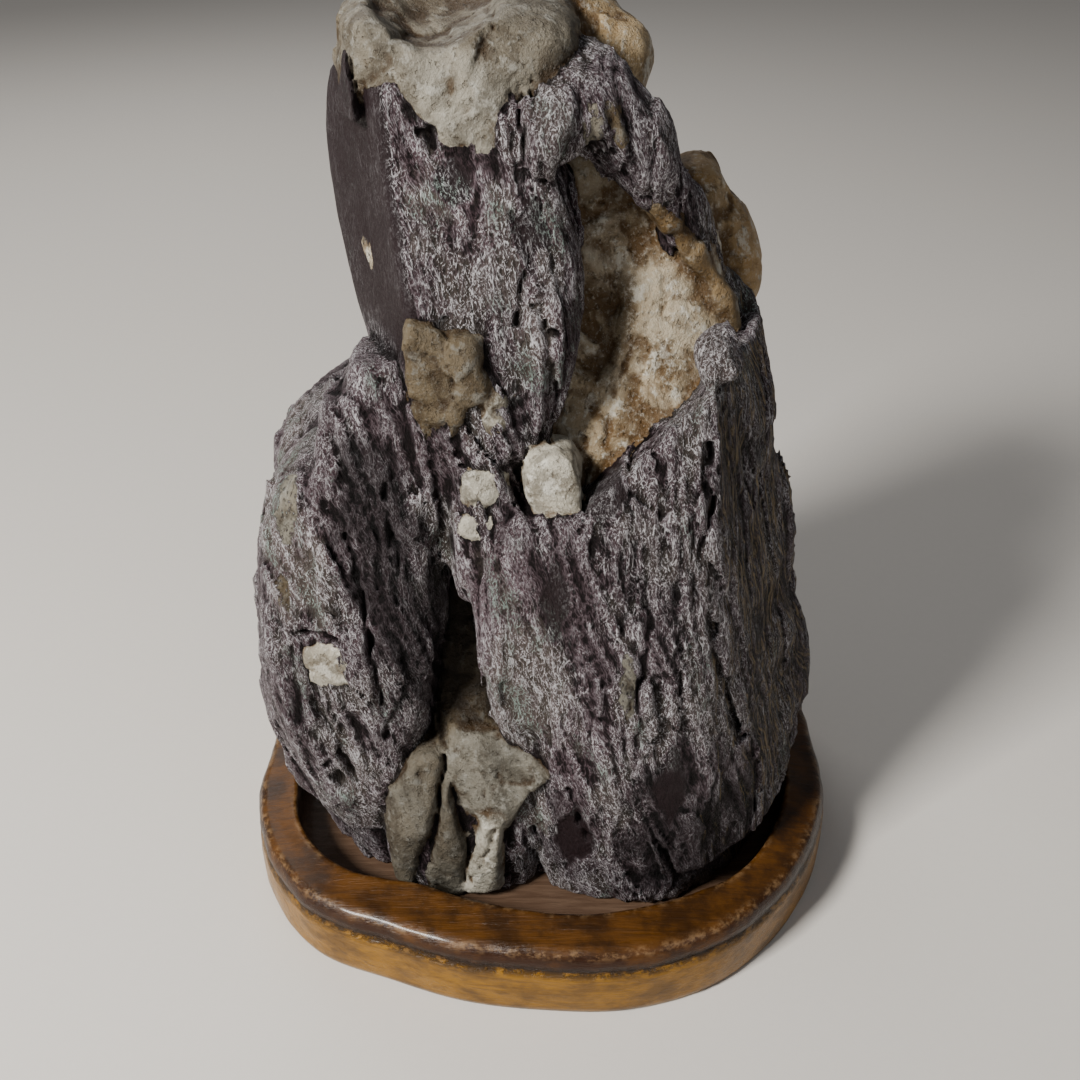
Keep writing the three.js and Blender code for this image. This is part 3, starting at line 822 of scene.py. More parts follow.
@dataclass
class SurfaceNet:
    """Closed net over the surface where a distance is nought."""

    low: tuple[float, float, float]
    high: tuple[float, float, float]
    step: float
    coarse: int = 4
    margin: float = 5.0
    batch: int = 200_000

    def _axes(self) -> list[Array]:
        """Grid lines along X, Y and Z."""
        return [np.arange(a, b + self.step, self.step) for a, b in zip(self.low, self.high)]

    def _sampled(self, plain: Distance, full: Distance) -> tuple[list[Array], Array]:
        """Distance on the grid, worked out in full only near the surface.

        Args:
            plain: Quick distance.
            full: Exact distance.

        Returns:
            The grid lines along X, Y and Z, and the distances.
        """
        axes = self._axes()
        wide = self.step * self.coarse
        rough_axes = [np.arange(a[0] - wide, a[-1] + 2 * wide, wide) for a in axes]
        rough_points = np.stack(np.meshgrid(*rough_axes, indexing="ij"), -1).reshape(-1, 3)
        grid = plain(rough_points).reshape([len(a) for a in rough_axes])
        for i, (line, rough) in enumerate(zip(axes, rough_axes)):
            place = (line - rough[0]) / wide
            whole = np.floor(place).astype(int)
            shape = [1, 1, 1]
            shape[i] = -1
            part = (place - whole).reshape(shape)
            grid = np.take(grid, whole, i) * (1 - part) + np.take(grid, whole + 1, i) * part
        near = np.argwhere(np.abs(grid) < self.margin)
        points = np.stack([axes[i][near[:, i]] for i in range(3)], 1)
        parts = np.array_split(points, max(1, len(points) // self.batch))
        grid[tuple(near.T)] = np.concatenate([full(part) for part in parts])
        return axes, grid

    def draw(self, plain: Distance, full: Distance) -> tuple[Array, Array]:
        """Draw the net.

        Args:
            plain: Quick distance that tells roughly where the surface is.
            full: Exact distance, called only near the surface.

        Returns:
            The net's points in mm and its four-sided faces.
        """
        axes, grid = self._sampled(plain, full)
        cells = tuple(n - 1 for n in grid.shape)
        total = np.zeros(cells + (3,), dtype=np.float32)
        count = np.zeros(cells, dtype=np.float32)
        for corner in np.ndindex(2, 2, 2):
            for axis in range(3):
                if corner[axis]:
                    continue
                far = tuple(1 if i == axis else c for i, c in enumerate(corner))
                here = grid[tuple(slice(c, c + n) for c, n in zip(corner, cells))]
                there = grid[tuple(slice(c, c + n) for c, n in zip(far, cells))]
                crossed = np.nonzero((here < 0) != (there < 0))
                share = here[crossed] / (here[crossed] - there[crossed])
                for i in range(3):
                    total[crossed + (np.full(len(share), i),)] += share if i == axis else corner[i]
                count[crossed] += 1
        used = np.nonzero(count)
        number = np.full(cells, -1, dtype=np.int64)
        number[used] = np.arange(len(used[0]))
        corners = np.stack([axes[i][used[i]] for i in range(3)], 1)
        points = corners + total[used] / count[used][:, None] * self.step
        return points, self._faces(grid, number)

    @staticmethod
    def _faces(grid: Array, number: Array) -> Array:
        """One four-sided face round each grid edge that crosses the surface.

        Args:
            grid: Distances on the grid.
            number: Number of each cell's point.

        Returns:
            Four point numbers for each face.
        """
        faces = []
        inside = grid < 0
        for axis in range(3):
            a, b = [i for i in range(3) if i != axis]
            lower = [slice(1, -1)] * 3
            upper = [slice(1, -1)] * 3
            lower[axis], upper[axis] = slice(0, -1), slice(1, None)
            here, there = inside[tuple(lower)], inside[tuple(upper)]
            for going_out in (True, False):
                place = np.argwhere(here & ~there if going_out else ~here & there)
                place[:, a] += 1
                place[:, b] += 1
                ring = []
                for da, db in ((-1, -1), (0, -1), (0, 0), (-1, 0)):
                    cell = place.copy()
                    cell[:, a] += da
                    cell[:, b] += db
                    ring.append(number[tuple(cell.T)])
                quad = np.stack(ring, 1)
                outward = going_out == (axis != 1)
                faces.append(quad if outward else quad[:, ::-1])
        return np.concatenate(faces)


def largest_part(points: Array, faces: Array) -> tuple[Array, Array]:
    """Keep only the largest connected part of a net.

    Args:
        points: The net's points.
        faces: The net's four-sided faces.

    Returns:
        Points and faces of the largest part.
    """
    label = np.arange(len(points))
    while True:
        lowest = label[faces].min(1)
        fresh = label.copy()
        np.minimum.at(fresh, faces.ravel(), np.repeat(lowest, 4))
        fresh = fresh[fresh]
        if (fresh == label).all():
            break
        label = fresh
    names, sizes = np.unique(label, return_counts=True)
    keep = label == names[sizes.argmax()]
    renumber = np.cumsum(keep) - 1
    return points[keep], renumber[faces[keep[faces[:, 0]]]]


# ---- Finishes --------------------------------------------------------------------------------

Socket = bpy.types.NodeSocket
Value = Socket | float | tuple[float, ...]


class NodeBench:
    """Adds and links the nodes of one material."""

    def __init__(self, name: str) -> None:
        """Start a material with an empty shader.

        Args:
            name: The material's name.
        """
        self.material = bpy.data.materials.new(name)
        self.material.use_nodes = True
        self.tree = self.material.node_tree
        self.tree.nodes.clear()
        self.output = self.tree.nodes.new("ShaderNodeOutputMaterial")
        self.place = self.tree.nodes.new("ShaderNodeTexCoord").outputs["Object"]

    def feed(self, socket: Socket, value: Value) -> None:
        """Link a socket to a value's socket, or set it.

        Args:
            socket: Input to feed.
            value: Socket to link to it, or its new value.
        """
        if isinstance(value, bpy.types.NodeSocket):
            self.tree.links.new(value, socket)
        elif isinstance(value, tuple) and len(value) == 3 and socket.type == "RGBA":
            socket.default_value = (*value, 1.0)
        else:
            socket.default_value = value

    def add(self, kind: str, output: str | int, inputs: dict[str | int, Value],
            **settings: str) -> Socket:
        """Add one node and feed it.

        Args:
            kind: The node's type, without the word that every type begins with.
            output: Name or number of the output to use.
            inputs: Values or sockets for its inputs, by name or number.
            **settings: The node's own settings.

        Returns:
            The output's socket.
        """
        node = self.tree.nodes.new("ShaderNode" + kind)
        for key, value in settings.items():
            setattr(node, key, value)
        for key, value in inputs.items():
            self.feed(node.inputs[key], value)
        return node.outputs[output]

    def attribute(self, name: str) -> Socket:
        """Value of a mesh attribute."""
        return self.add("Attribute", "Fac", {}, attribute_name=name)

    def wavering(self, scale: float, reach_mm: float) -> Socket:
        """Object coordinates pushed about by a soft noise.

        Args:
            scale: Cells of the noise per metre.
            reach_mm: Push for the noise's whole range, in mm.

        Returns:
            The coordinate's socket.
        """
        soft = self.add("TexNoise", "Color", {"Scale": scale, "Vector": self.place})
        push = {0: soft, 1: (reach_mm * MM,) * 3, 2: self.place}
        return self.add("VectorMath", 0, push, operation="MULTIPLY_ADD")

    def stretched(self, scale: tuple[float, float, float], lean: float = 0.0,
                  place: Socket | None = None) -> Socket:
        """Object coordinates in cells, drawn out along one direction.

        Args:
            scale: Cells per metre along X, Y and Z.
            lean: Turn about Y, in degrees.
            place: Coordinates to use in place of the plain ones.

        Returns:
            The coordinate's socket.
        """
        turn = self.add("Mapping", "Vector", {"Rotation": (0, math.radians(lean), 0),
                                              "Vector": place or self.place})
        return self.add("Mapping", "Vector", {"Scale": scale, "Vector": turn})

    def noise(self, scale: tuple[float, float, float], detail: float, rough: float = 0.55,
              lean: float = 0.0, bend: float = 0.0, place: Socket | None = None) -> Socket:
        """Fractal noise from 0 to 1 in stretched cells.

        Args:
            scale: Cells per metre along X, Y and Z.
            detail: Octaves of finer noise.
            rough: Strength of each finer octave.
            lean: Turn about Y, in degrees.
            bend: How far the noise bends itself.
            place: Coordinates to use in place of the plain ones.

        Returns:
            The noise's socket.
        """
        where = self.stretched(scale, lean, place)
        return self.add("TexNoise", "Fac", {"Vector": where, "Scale": 1.0, "Detail": detail,
                                            "Roughness": rough, "Distortion": bend})

    def fibres(self, scale: tuple[float, float, float], lean: float, place: Socket) -> Socket:
        """Sharp-crested fractal noise, about 1.6 on the whole and 1.9 or more on its crests.

        Args:
            scale: Cells per metre along X, Y and Z.
            lean: Turn about Y, in degrees.
            place: Coordinates to use.

        Returns:
            The noise's socket.
        """
        where = self.stretched(scale, lean, place)
        return self.add("TexNoise", "Fac", {"Vector": where, "Scale": 1.0, "Detail": 8.0,
                                            "Roughness": 0.6, "Offset": 1.0, "Gain": 2.0},
                        noise_type="RIDGED_MULTIFRACTAL")

    def math(self, kind: str, a: Value, b: Value = 0.0) -> Socket:
        """Result of one sum on two values."""
        return self.add("Math", 0, {0: a, 1: b}, operation=kind)

    def sum(self, *terms: tuple[Socket, float], offset: float = 0.0) -> Socket:
        """Weighted sum of values, plus an offset.

        Args:
            *terms: Values, each with its weight.
            offset: What the sum starts from.

        Returns:
            The sum's socket.
        """
        total = offset
        for value, weight in terms:
            total = self.add("Math", 0, {0: value, 1: weight, 2: total}, operation="MULTIPLY_ADD")
        return total

    def product(self, a: Value, b: Value) -> Socket:
        """Product of two values."""
        return self.math("MULTIPLY", a, b)

    def greater(self, a: Value, b: Value) -> Socket:
        """Greater of two values."""
        return self.math("MAXIMUM", a, b)

    def blend(self, share: Value, a: Value, b: Value) -> Socket:
        """Two values mixed by a share."""
        return self.add("Mix", "Result", {"Factor": share, "A": a, "B": b})

    def ridged(self, noise: Socket, sharpness: float) -> Socket:
        """Thin lines where a noise passes through its middle, 1 on the line and 0 off it."""
        away = self.math("ABSOLUTE", self.sum((noise, 2.0), offset=-1.0))
        return self.greater(self.sum((away, -sharpness), offset=1.0), 0.0)

    def fit(self, value: Value, low: float, high: float, to_low: float = 0.0,
            to_high: float = 1.0) -> Socket:
        """Value moved smoothly from one range to another and held there.

        Args:
            value: Value to move.
            low: Where its range begins.
            high: Where it ends.
            to_low: What the beginning becomes.
            to_high: What the end becomes.

        Returns:
            The moved value's socket.
        """
        return self.add("MapRange", "Result", {
            "Value": value, "From Min": low, "From Max": high, "To Min": to_low,
            "To Max": to_high}, interpolation_type="SMOOTHSTEP")

    def mix(self, share: Value, a: Value, b: Value) -> Socket:
        """Two colours mixed by a share."""
        return self.add("Mix", 2, {"Factor": share, 6: a, 7: b}, data_type="RGBA")

    def scaled(self, colour: Socket, amount: Socket) -> Socket:
        """Colour made lighter or darker by an amount."""
        return self.add("VectorMath", 0, {0: colour, "Scale": amount}, operation="SCALE")

    def bump(self, height: Socket, depth_mm: float) -> Socket:
        """Normal bent by a height of 0 to 1 that stands for depth_mm."""
        return self.add("Bump", "Normal", {"Distance": depth_mm * MM, "Height": height})

    def surface(self, **inputs: Value) -> bpy.types.Material:
        """Finish the material with one surface shader.

        Args:
            **inputs: Shader inputs by name, with _ for a space.

        Returns:
            The material.
        """
        named = {key.replace("_", " "): value for key, value in inputs.items()}
        self.feed(self.output.inputs["Surface"], self.add("BsdfPrincipled", "BSDF", named))
        return self.material


@dataclass(frozen=True)
class StoneFinish:
    """Scuffed purple slate and stained quartz, told apart by the mesh's attributes."""

    # Near-black painted shade for the slate's crevices.
    slate_crevice_shade: Colour = (0.0045, 0.0020, 0.0024)
    slate_body: Colour = (0.066, 0.038, 0.046)
    slate_worn: Colour = (0.155, 0.127, 0.141)
    slate_dust: Colour = (0.080, 0.066, 0.056)
    slate_scuff: Colour = (0.82, 0.80, 0.83)
    slate_green: Colour = (0.38, 0.50, 0.45)
    slate_olive: Colour = (0.40, 0.29, 0.15)
    plain_face: Colour = (0.0098, 0.0044, 0.0054)
    quartz_clean: Colour = (0.40, 0.375, 0.31)
    quartz_grey: Colour = (0.175, 0.160, 0.128)
    quartz_tan: Colour = (0.34, 0.256, 0.150)
    quartz_brown: Colour = (0.170, 0.114, 0.054)
    quartz_ochre: Colour = (0.37, 0.230, 0.092)
    # Rust colour, also used as painted crevice shade on the quartz.
    quartz_rust_and_shade: Colour = (0.075, 0.037, 0.010)
    quartz_milk: Colour = (0.58, 0.56, 0.49)

    def material(self) -> bpy.types.Material:
        """Build the stone's material.

        Returns:
            The material.
        """
        bench = NodeBench("stone_slate_and_quartz")
        vein = self._vein(bench)
        slate, slate_height, slate_rough = self._slate(bench)
        quartz, quartz_height, quartz_rough = self._quartz(bench)
        return bench.surface(
            Base_Color=bench.mix(vein, slate, quartz),
            Roughness=bench.blend(vein, slate_rough, quartz_rough), Specular_IOR_Level=0.2,
            Normal=bench.bump(bench.blend(vein, slate_height, quartz_height), 1.0))

    def _vein(self, bench: NodeBench) -> Socket:
        """Share of quartz, 0 or 1 with a ragged edge.

        Args:
            bench: The material's bench.

        Returns:
            The share's socket.
        """
        ragged = bench.noise((1100, 1100, 700), 4, 0.7)
        edge = bench.sum((bench.attribute("vein"), 1.0), (ragged, 1.4))
        return bench.fit(edge, 0.6, 0.8, 1.0, 0.0)

    def _slate(self, bench: NodeBench) -> tuple[Socket, Socket, Socket]:
        """Colour, height and roughness of the slate.

        Args:
            bench: The material's bench.

        Returns:
            Their three sockets.
        """
        # fresh holds fresh slate and painted shade, and below nought dust and painted light.
        crest, swell, plain, flank, fresh = (
            bench.attribute(n) for n in ("crest", "swell", "plain", "flank", "fresh"))
        bent = bench.wavering(110, 3.2)
        layers = bench.noise((300, 1500, 90), 6, 0.68, lean=9, place=bench.wavering(60, 12.0))
        long = bench.fibres((700, 700, 140), 11, bent)
        short = bench.fibres((1600, 1600, 430), 20, bent)
        cross = bench.fibres((1200, 1300, 420), -24, bent)
        grains = bench.noise((2600, 2600, 1300), 3, 0.75)
        patches = bench.noise((75, 75, 42), 5, 0.62, lean=10)
        tints = bench.noise((110, 110, 60), 4, 0.6, lean=8)
        standing = bench.sum((crest, 0.55), (swell, 0.30))
        streaks = bench.greater(bench.fit(long, 1.86, 2.08), bench.fit(short, 1.88, 2.08))
        streaks = bench.greater(streaks, bench.fit(cross, 1.88, 2.08, 0.0, 0.8))
        scuffed = bench.sum((standing, 0.55), (patches, 3.4))
        lit = bench.product(streaks, bench.fit(scuffed, 1.30, 2.15))
        speckle = bench.product(bench.fit(grains, 0.50, 0.64), bench.fit(standing, -0.1, 0.5))
        # Painted crevice shade: the body turns near black where the surface lies low.
        body = bench.mix(bench.fit(bench.sum((standing, 1.0), (short, 0.5)), 0.15, 1.15),
                         self.slate_crevice_shade, self.slate_body)
        hatch = bench.product(bench.fit(short, 1.45, 1.85), bench.fit(standing, -0.5, 0.3))
        body = bench.mix(bench.product(hatch, 0.78), body, self.slate_worn)
        dusty = bench.sum((patches, 1.0), (fresh, -0.08), (plain, -0.3))
        body = bench.mix(bench.fit(dusty, 0.48, 0.62, 0.0, 0.6), body, self.slate_dust)
        # Fresh spots darken the body and dusty ones lighten it, the strong ones as painted shade and
        # painted light; the right flank is darkened too.
        body = bench.scaled(body, bench.sum((fresh, -0.55), (flank, -0.45), offset=1.0))
        body = bench.mix(bench.fit(plain, 0.2, 0.7, 0.0, 0.97), body, self.plain_face)
        greenish = bench.sum((tints, 1.0), (fresh, -0.10))
        pale = bench.mix(bench.fit(greenish, 0.56, 0.69), self.slate_scuff, self.slate_green)
        worn = bench.greater(lit, bench.product(speckle, 0.35))
        # Fewer scuffs on smooth faces, on fresh spots and where shade is painted, more where light
        # is painted.
        worn = bench.product(worn, bench.sum((plain, -0.95), (fresh, -0.72), (flank, -0.2),
                                             offset=1.0))
        worn = bench.greater(worn, 0.0)
        colour = bench.mix(bench.math("MINIMUM", worn, 0.68), body, pale)
        olive = bench.product(flank, bench.fit(layers, 0.50, 0.61))
        colour = bench.mix(bench.product(olive, 0.8), colour, self.slate_olive)
        height = bench.sum((long, 0.45), (short, 0.30), (cross, 0.20), (grains, 0.45))
        height = bench.product(height, bench.sum((plain, -0.8), offset=1.0))
        height = bench.sum((height, 1.0), (bench.product(layers, flank), 2.6))
        return colour, height, bench.fit(grains, 0.3, 0.7, 0.42, 0.75)

    def _quartz(self, bench: NodeBench) -> tuple[Socket, Socket, Socket]:
        """Colour, height and roughness of the quartz.

        Args:
            bench: The material's bench.

        Returns:
            Their three sockets.
        """
        crest, swell, stain = (bench.attribute(n) for n in ("crest", "swell", "stain"))
        wash = bench.noise((62, 62, 62), 4, 0.6, bend=0.6)
        stain = bench.sum((stain, 1.0), (wash, 0.7), offset=-0.35)
        clouds = bench.noise((130, 130, 110), 6, 0.62, bend=0.8)
        blots = bench.noise((330, 330, 300), 6, 0.72)
        sugar = bench.noise((1500, 1500, 1200), 5, 0.72)
        pocks = bench.fit(bench.noise((800, 800, 700), 4, 0.6),
                          0.58, 0.68)
        flaws = bench.ridged(bench.noise((190, 190, 130), 3, 0.5, lean=20, bend=1.2), 16.0)
        base = bench.mix(bench.fit(clouds, 0.40, 0.60), self.quartz_grey, self.quartz_clean)
        tan = bench.mix(bench.fit(clouds, 0.40, 0.60), self.quartz_brown, self.quartz_tan)
        tinted = bench.mix(bench.fit(stain, 0.05, 0.75), base, tan)
        tinted = bench.mix(bench.fit(stain, 0.75, 1.0, 0.0, 0.7), tinted, self.quartz_ochre)
        tinted = bench.mix(bench.fit(blots, 0.52, 0.64, 0.0, 0.65), tinted, self.quartz_milk)
        # Real rust and dirt from the blots, clouds and stain, plus painted crevice shade where crest
        # and swell lie low.
        grime_and_crevice_shade = bench.sum((blots, -0.4), (clouds, -0.9), (stain, 0.30), (crest, -0.14),
                          (swell, -0.20), offset=0.98)
        colour = bench.mix(bench.fit(grime_and_crevice_shade, 0.34, 0.70, 0.0, 0.85), tinted, self.quartz_rust_and_shade)
        colour = bench.mix(bench.product(flaws, 0.10), colour, self.quartz_rust_and_shade)
        colour = bench.mix(bench.product(pocks, 0.28), colour, self.quartz_rust_and_shade)
        colour = bench.mix(bench.fit(sugar, 0.52, 0.68, 0.0, 0.35), colour, self.quartz_milk)
        # Tone is each mass's own lightness, except that the very low tone at the cavity's back is
        # painted shade and the tooth's at the foot is partly painted shade.
        colour = bench.scaled(colour, bench.attribute("tone"))
        height = bench.sum((sugar, 0.35), (blots, 1.0), (flaws, -0.04), (pocks, -0.3))
        return colour, height, bench.fit(sugar, 0.3, 0.7, 0.28, 0.55)


@dataclass(frozen=True)
class WoodFinish:
    """Worn amber varnish over carved wood, paler on the lower band of the side."""

    top: Colour = (0.028, 0.011, 0.0025)
    top_gold: Colour = (0.078, 0.029, 0.003)
    red: Colour = (0.022, 0.0058, 0.0004)
    band: Colour = (0.225, 0.105, 0.008)
    band_dull: Colour = (0.125, 0.060, 0.009)
    dark: Colour = (0.010, 0.005, 0.003)
    worn: Colour = (0.24, 0.145, 0.07)
    tray_floor: Colour = (0.060, 0.034, 0.021)
    tray_grain: Colour = (0.10, 0.062, 0.040)

    def material(self) -> bpy.types.Material:
        """Build the stand's material.

        Returns:
            The material.
        """
        bench = NodeBench("stand_varnished_wood")
        level, edge, tray = (bench.attribute(n) for n in ("level", "edge", "tray"))
        grain = bench.noise((70, 800, 800), 6, 0.62, bend=0.5)
        pores = bench.noise((300, 3000, 3000), 3, 0.6)
        blots = bench.noise((75, 75, 110), 6, 0.62)
        chips = bench.noise((380, 380, 620), 6, 0.72)
        top = bench.mix(bench.fit(blots, 0.40, 0.62), self.top, self.top_gold)
        upper = bench.mix(bench.fit(blots, 0.46, 0.66, 0.0, 0.75), self.red, self.top_gold)
        band = bench.mix(bench.fit(blots, 0.42, 0.6), self.band, self.band_dull)
        base = bench.mix(bench.fit(level, 0.62, 0.67), band, upper)
        base = bench.mix(bench.fit(level, 0.86, 0.93), base, top)
        base = bench.mix(bench.fit(grain, 0.42, 0.68, 0.0, 0.42), base, self.dark)
        off_seam = bench.math("ABSOLUTE", bench.sum((level, 1.0), offset=-0.66))
        seam = bench.product(bench.fit(off_seam, 0.02, 0.13, 1.0, 0.0),
                             bench.fit(chips, 0.40, 0.56))
        base = bench.mix(bench.product(seam, 0.85), base, self.dark)
        rubbed = bench.product(edge, bench.fit(chips, 0.46, 0.62))
        base = bench.mix(bench.product(rubbed, 0.55), base, self.worn)
        floor = bench.mix(bench.fit(grain, 0.3, 0.7), self.tray_floor, self.tray_grain)
        base = bench.mix(tray, base, floor)
        height = bench.sum((grain, 0.6), (pores, 0.3), (seam, -0.8), (chips, 0.25))
        return bench.surface(
            Base_Color=base, Roughness=bench.fit(blots, 0.3, 0.7, 0.26, 0.46),
            Specular_IOR_Level=0.25, Coat_Weight=bench.sum((tray, -0.15), offset=0.15),
            Coat_Roughness=0.15, Normal=bench.bump(height, 0.35))


@dataclass(frozen=True)
class FloorFinish:
    """Plain pale matt studio floor."""

    colour: Colour = (0.62, 0.59, 0.55)
    mottle: Colour = (0.5, 0.48, 0.45)

    def material(self) -> bpy.types.Material:
        """Build the floor's material.

        Returns:
            The material.
        """
        bench = NodeBench("studio_floor")
        cloth = bench.noise((400, 400, 400), 3)
        shade = bench.mix(bench.fit(cloth, 0.3, 0.7, 0.0, 0.06), self.colour, self.mottle)
        return bench.surface(Base_Color=shade, Roughness=0.9)


# ---- Pieces ----------------------------------------------------------------------------------

def mesh_object(name: str, points: Array, *faces: Array) -> bpy.types.Object:
    """Make an object from points in metres and faces.

    Args:
        name: The object's name.
        points: One row of X, Y and Z for each point.
        *faces: Blocks of faces, with one row of point numbers for each face.

    Returns:
        The object, linked to the scene.
    """
    mesh = bpy.data.meshes.new(name)
    mesh.from_pydata(points.tolist(), [], [face for block in faces for face in block.tolist()])
    mesh.update()
    piece = bpy.data.objects.new(name, mesh)
    bpy.context.scene.collection.objects.link(piece)
    return piece


def set_attribute(mesh: bpy.types.Mesh, name: str, values: Array) -> None:
    """Store one number for each point of a mesh."""
    layer = mesh.attributes.new(name, "FLOAT", "POINT")
    layer.data.foreach_set("value", np.asarray(values, dtype=np.float32))


def smooth_shaded(mesh: bpy.types.Mesh) -> None:
    """Shade every face of a mesh smooth."""
    mesh.polygons.foreach_set("use_smooth", np.ones(len(mesh.polygons), dtype=bool))


@dataclass
class StonePiece:
    """The stone: its fine net and its finish."""

    form: StoneForm = field(default_factory=StoneForm)
    finish: StoneFinish = field(default_factory=StoneFinish)
    design_height: float = 188.2
    step: float = 0.72
    quick_step: float = 1.3
    most_triangles: int = 196_000
    crest_mm: float = 0.22
    swell_mm: float = 0.9
    vein_mm: float = 4.0
    unit: float = field(init=False, default=MM)
    foot_height: float = field(init=False, default=0.0)

    def build(self) -> bpy.types.Object:
        """Draw the net, thin it and dress it.

        Returns:
            The stone.
        """
        low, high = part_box("rock")
        self.unit = (high[2] - low[2]) / self.design_height
        self.foot_height = low[2]
        net = SurfaceNet(low=(-68, -58, 7), high=(70, 54, 203),
                         step=self.step)
        points, faces = largest_part(*net.draw(self.form.plain, self.form.distance))
        LOG.info("stone net: %d points, %d faces", len(points), len(faces))
        piece = mesh_object("rock_stone", self._placed(points), faces)
        self._thin(piece, len(faces) * 2)
        self._mark(piece.data)
        smooth_shaded(piece.data)
        piece.data.materials.append(self.finish.material())
        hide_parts("rock")
        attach(piece, "root")
        return piece

    def _placed(self, points: Array) -> Array:
        """Points of the design in mm moved to the frame in metres.

        Args:
            points: Points of the design in mm.

        Returns:
            The moved points.
        """
        placed = points * self.unit
        placed[:, 2] = self.foot_height + (points[:, 2] - self.form.foot) * self.unit
        return placed

    def _design(self, mesh: bpy.types.Mesh) -> Array:
        """A mesh's points in the design's mm.

        Args:
            mesh: The stone's mesh.

        Returns:
            One row for each point.
        """
        flat = np.empty(len(mesh.vertices) * 3)
        mesh.vertices.foreach_get("co", flat)
        points = flat.reshape(-1, 3) / self.unit
        points[:, 2] += self.form.foot - self.foot_height / self.unit
        return points

    def _thin(self, piece: bpy.types.Object, triangles: int) -> None:
        """Collapse the net's shortest edges until it is light enough to keep.

        Args:
            piece: The stone.
            triangles: How many triangles it has.
        """
        if triangles <= self.most_triangles:
            return
        thinner = piece.modifiers.new("thinner", "DECIMATE")
        thinner.ratio = self.most_triangles / triangles
        baked = bpy.data.meshes.new_from_object(
            piece.evaluated_get(bpy.context.evaluated_depsgraph_get()))
        piece.modifiers.clear()
        piece.data = baked

    def _mark(self, mesh: bpy.types.Mesh) -> None:
        """Store what the finish needs to know about each point.

        Args:
            mesh: The stone's mesh.
        """
        points = self._design(mesh)
        slate, quartz = self.form.stone(points)
        x, y, z = points.T
        flat = np.empty(len(points) * 3)
        mesh.vertices.foreach_get("normal", flat)
        normal = flat.reshape(-1, 3)
        fine, broad = self._standing_out(mesh, points, normal)
        set_attribute(mesh, "vein", np.clip(quartz - slate, -self.vein_mm, self.vein_mm))
        # crest and swell also drive painted crevice shade in the finish.
        set_attribute(mesh, "crest", np.clip(fine / self.crest_mm, -1, 1))
        set_attribute(mesh, "swell", np.clip(broad / self.swell_mm, -1, 1))
        stain, tone = self._tinge(points)
        set_attribute(mesh, "stain", stain)
        set_attribute(mesh, "tone", tone)
        set_attribute(mesh, "plain", self.form.smooth_faces(points))
        # fresh: fresh slate and painted shade, below nought dust and painted light.
        set_attribute(mesh, "fresh", self.form.fresh_and_painted_shading(points))
        set_attribute(mesh, "flank", ramp(normal[:, 0], 0.66, 0.90) * ramp(x, 25, 40))

    @staticmethod
    def _standing_out(mesh: bpy.types.Mesh, points: Array, normal: Array) -> tuple[Array, Array]:
        """How far each point stands out from its near and from its wider neighbours, in mm.

        Args:
            mesh: The stone's mesh.
            points: Its points in mm.
            normal: Their normals.

        Returns:
            The near and the wider heights.
        """
        ends = np.empty(len(mesh.edges) * 2, dtype=np.int64)
        mesh.edges.foreach_get("vertices", ends)
        a, b = ends.reshape(-1, 2).T
        n = len(points)
        count = np.maximum(np.bincount(a, minlength=n) + np.bincount(b, minlength=n), 1)
        eased, heights = points, []
        for passes in (2, 14):
            for _ in range(passes):
                eased = np.stack([(np.bincount(a, eased[b, i], n) + np.bincount(b, eased[a, i], n))
                                  / count for i in range(3)], 1)
            heights.append(((points - eased) * normal).sum(1))
        return heights[0], heights[1]

    @staticmethod
    def _tinge(points: Array) -> tuple[Array, Array]:
        """Stain and tone of the quartz masses nearest each point.

        Args:
            points: Points in mm, one row each.

        Returns:
            The stains and the tones.
        """
        weight, stain, tone = (np.zeros(len(points)) for _ in range(3))
        for mass in (QUARTZ_MASSES | INLAYS).values():
            near = np.exp(-np.clip(mass.shape.distance(points), -4, 40) / 0.8)
            weight += near
            stain += near * mass.stain
            tone += near * mass.tone
        return stain / weight, tone / weight


# Outer radius and rim width of the stand at even steps round it, from the right.
RIM_STATIONS = (
    (70.2, 10.0), (71.6, 10.0), (71.8, 10.5), (70.8, 11.0), (69.2, 11.5), (68.2, 12.0),
    (68.1, 12.0), (68.4, 12.0), (69.6, 11.5), (71.0, 11.0), (71.2, 10.5), (70.2, 10.0),
    (69.5, 9.8), (72.1, 10.2), (73.6, 9.2), (73.2, 11.0), (68.9, 13.3), (67.8, 13.0),
    (67.8, 11.6), (70.2, 12.0), (72.1, 12.0), (72.3, 9.4), (72.0, 9.6), (71.6, 10.0),
)


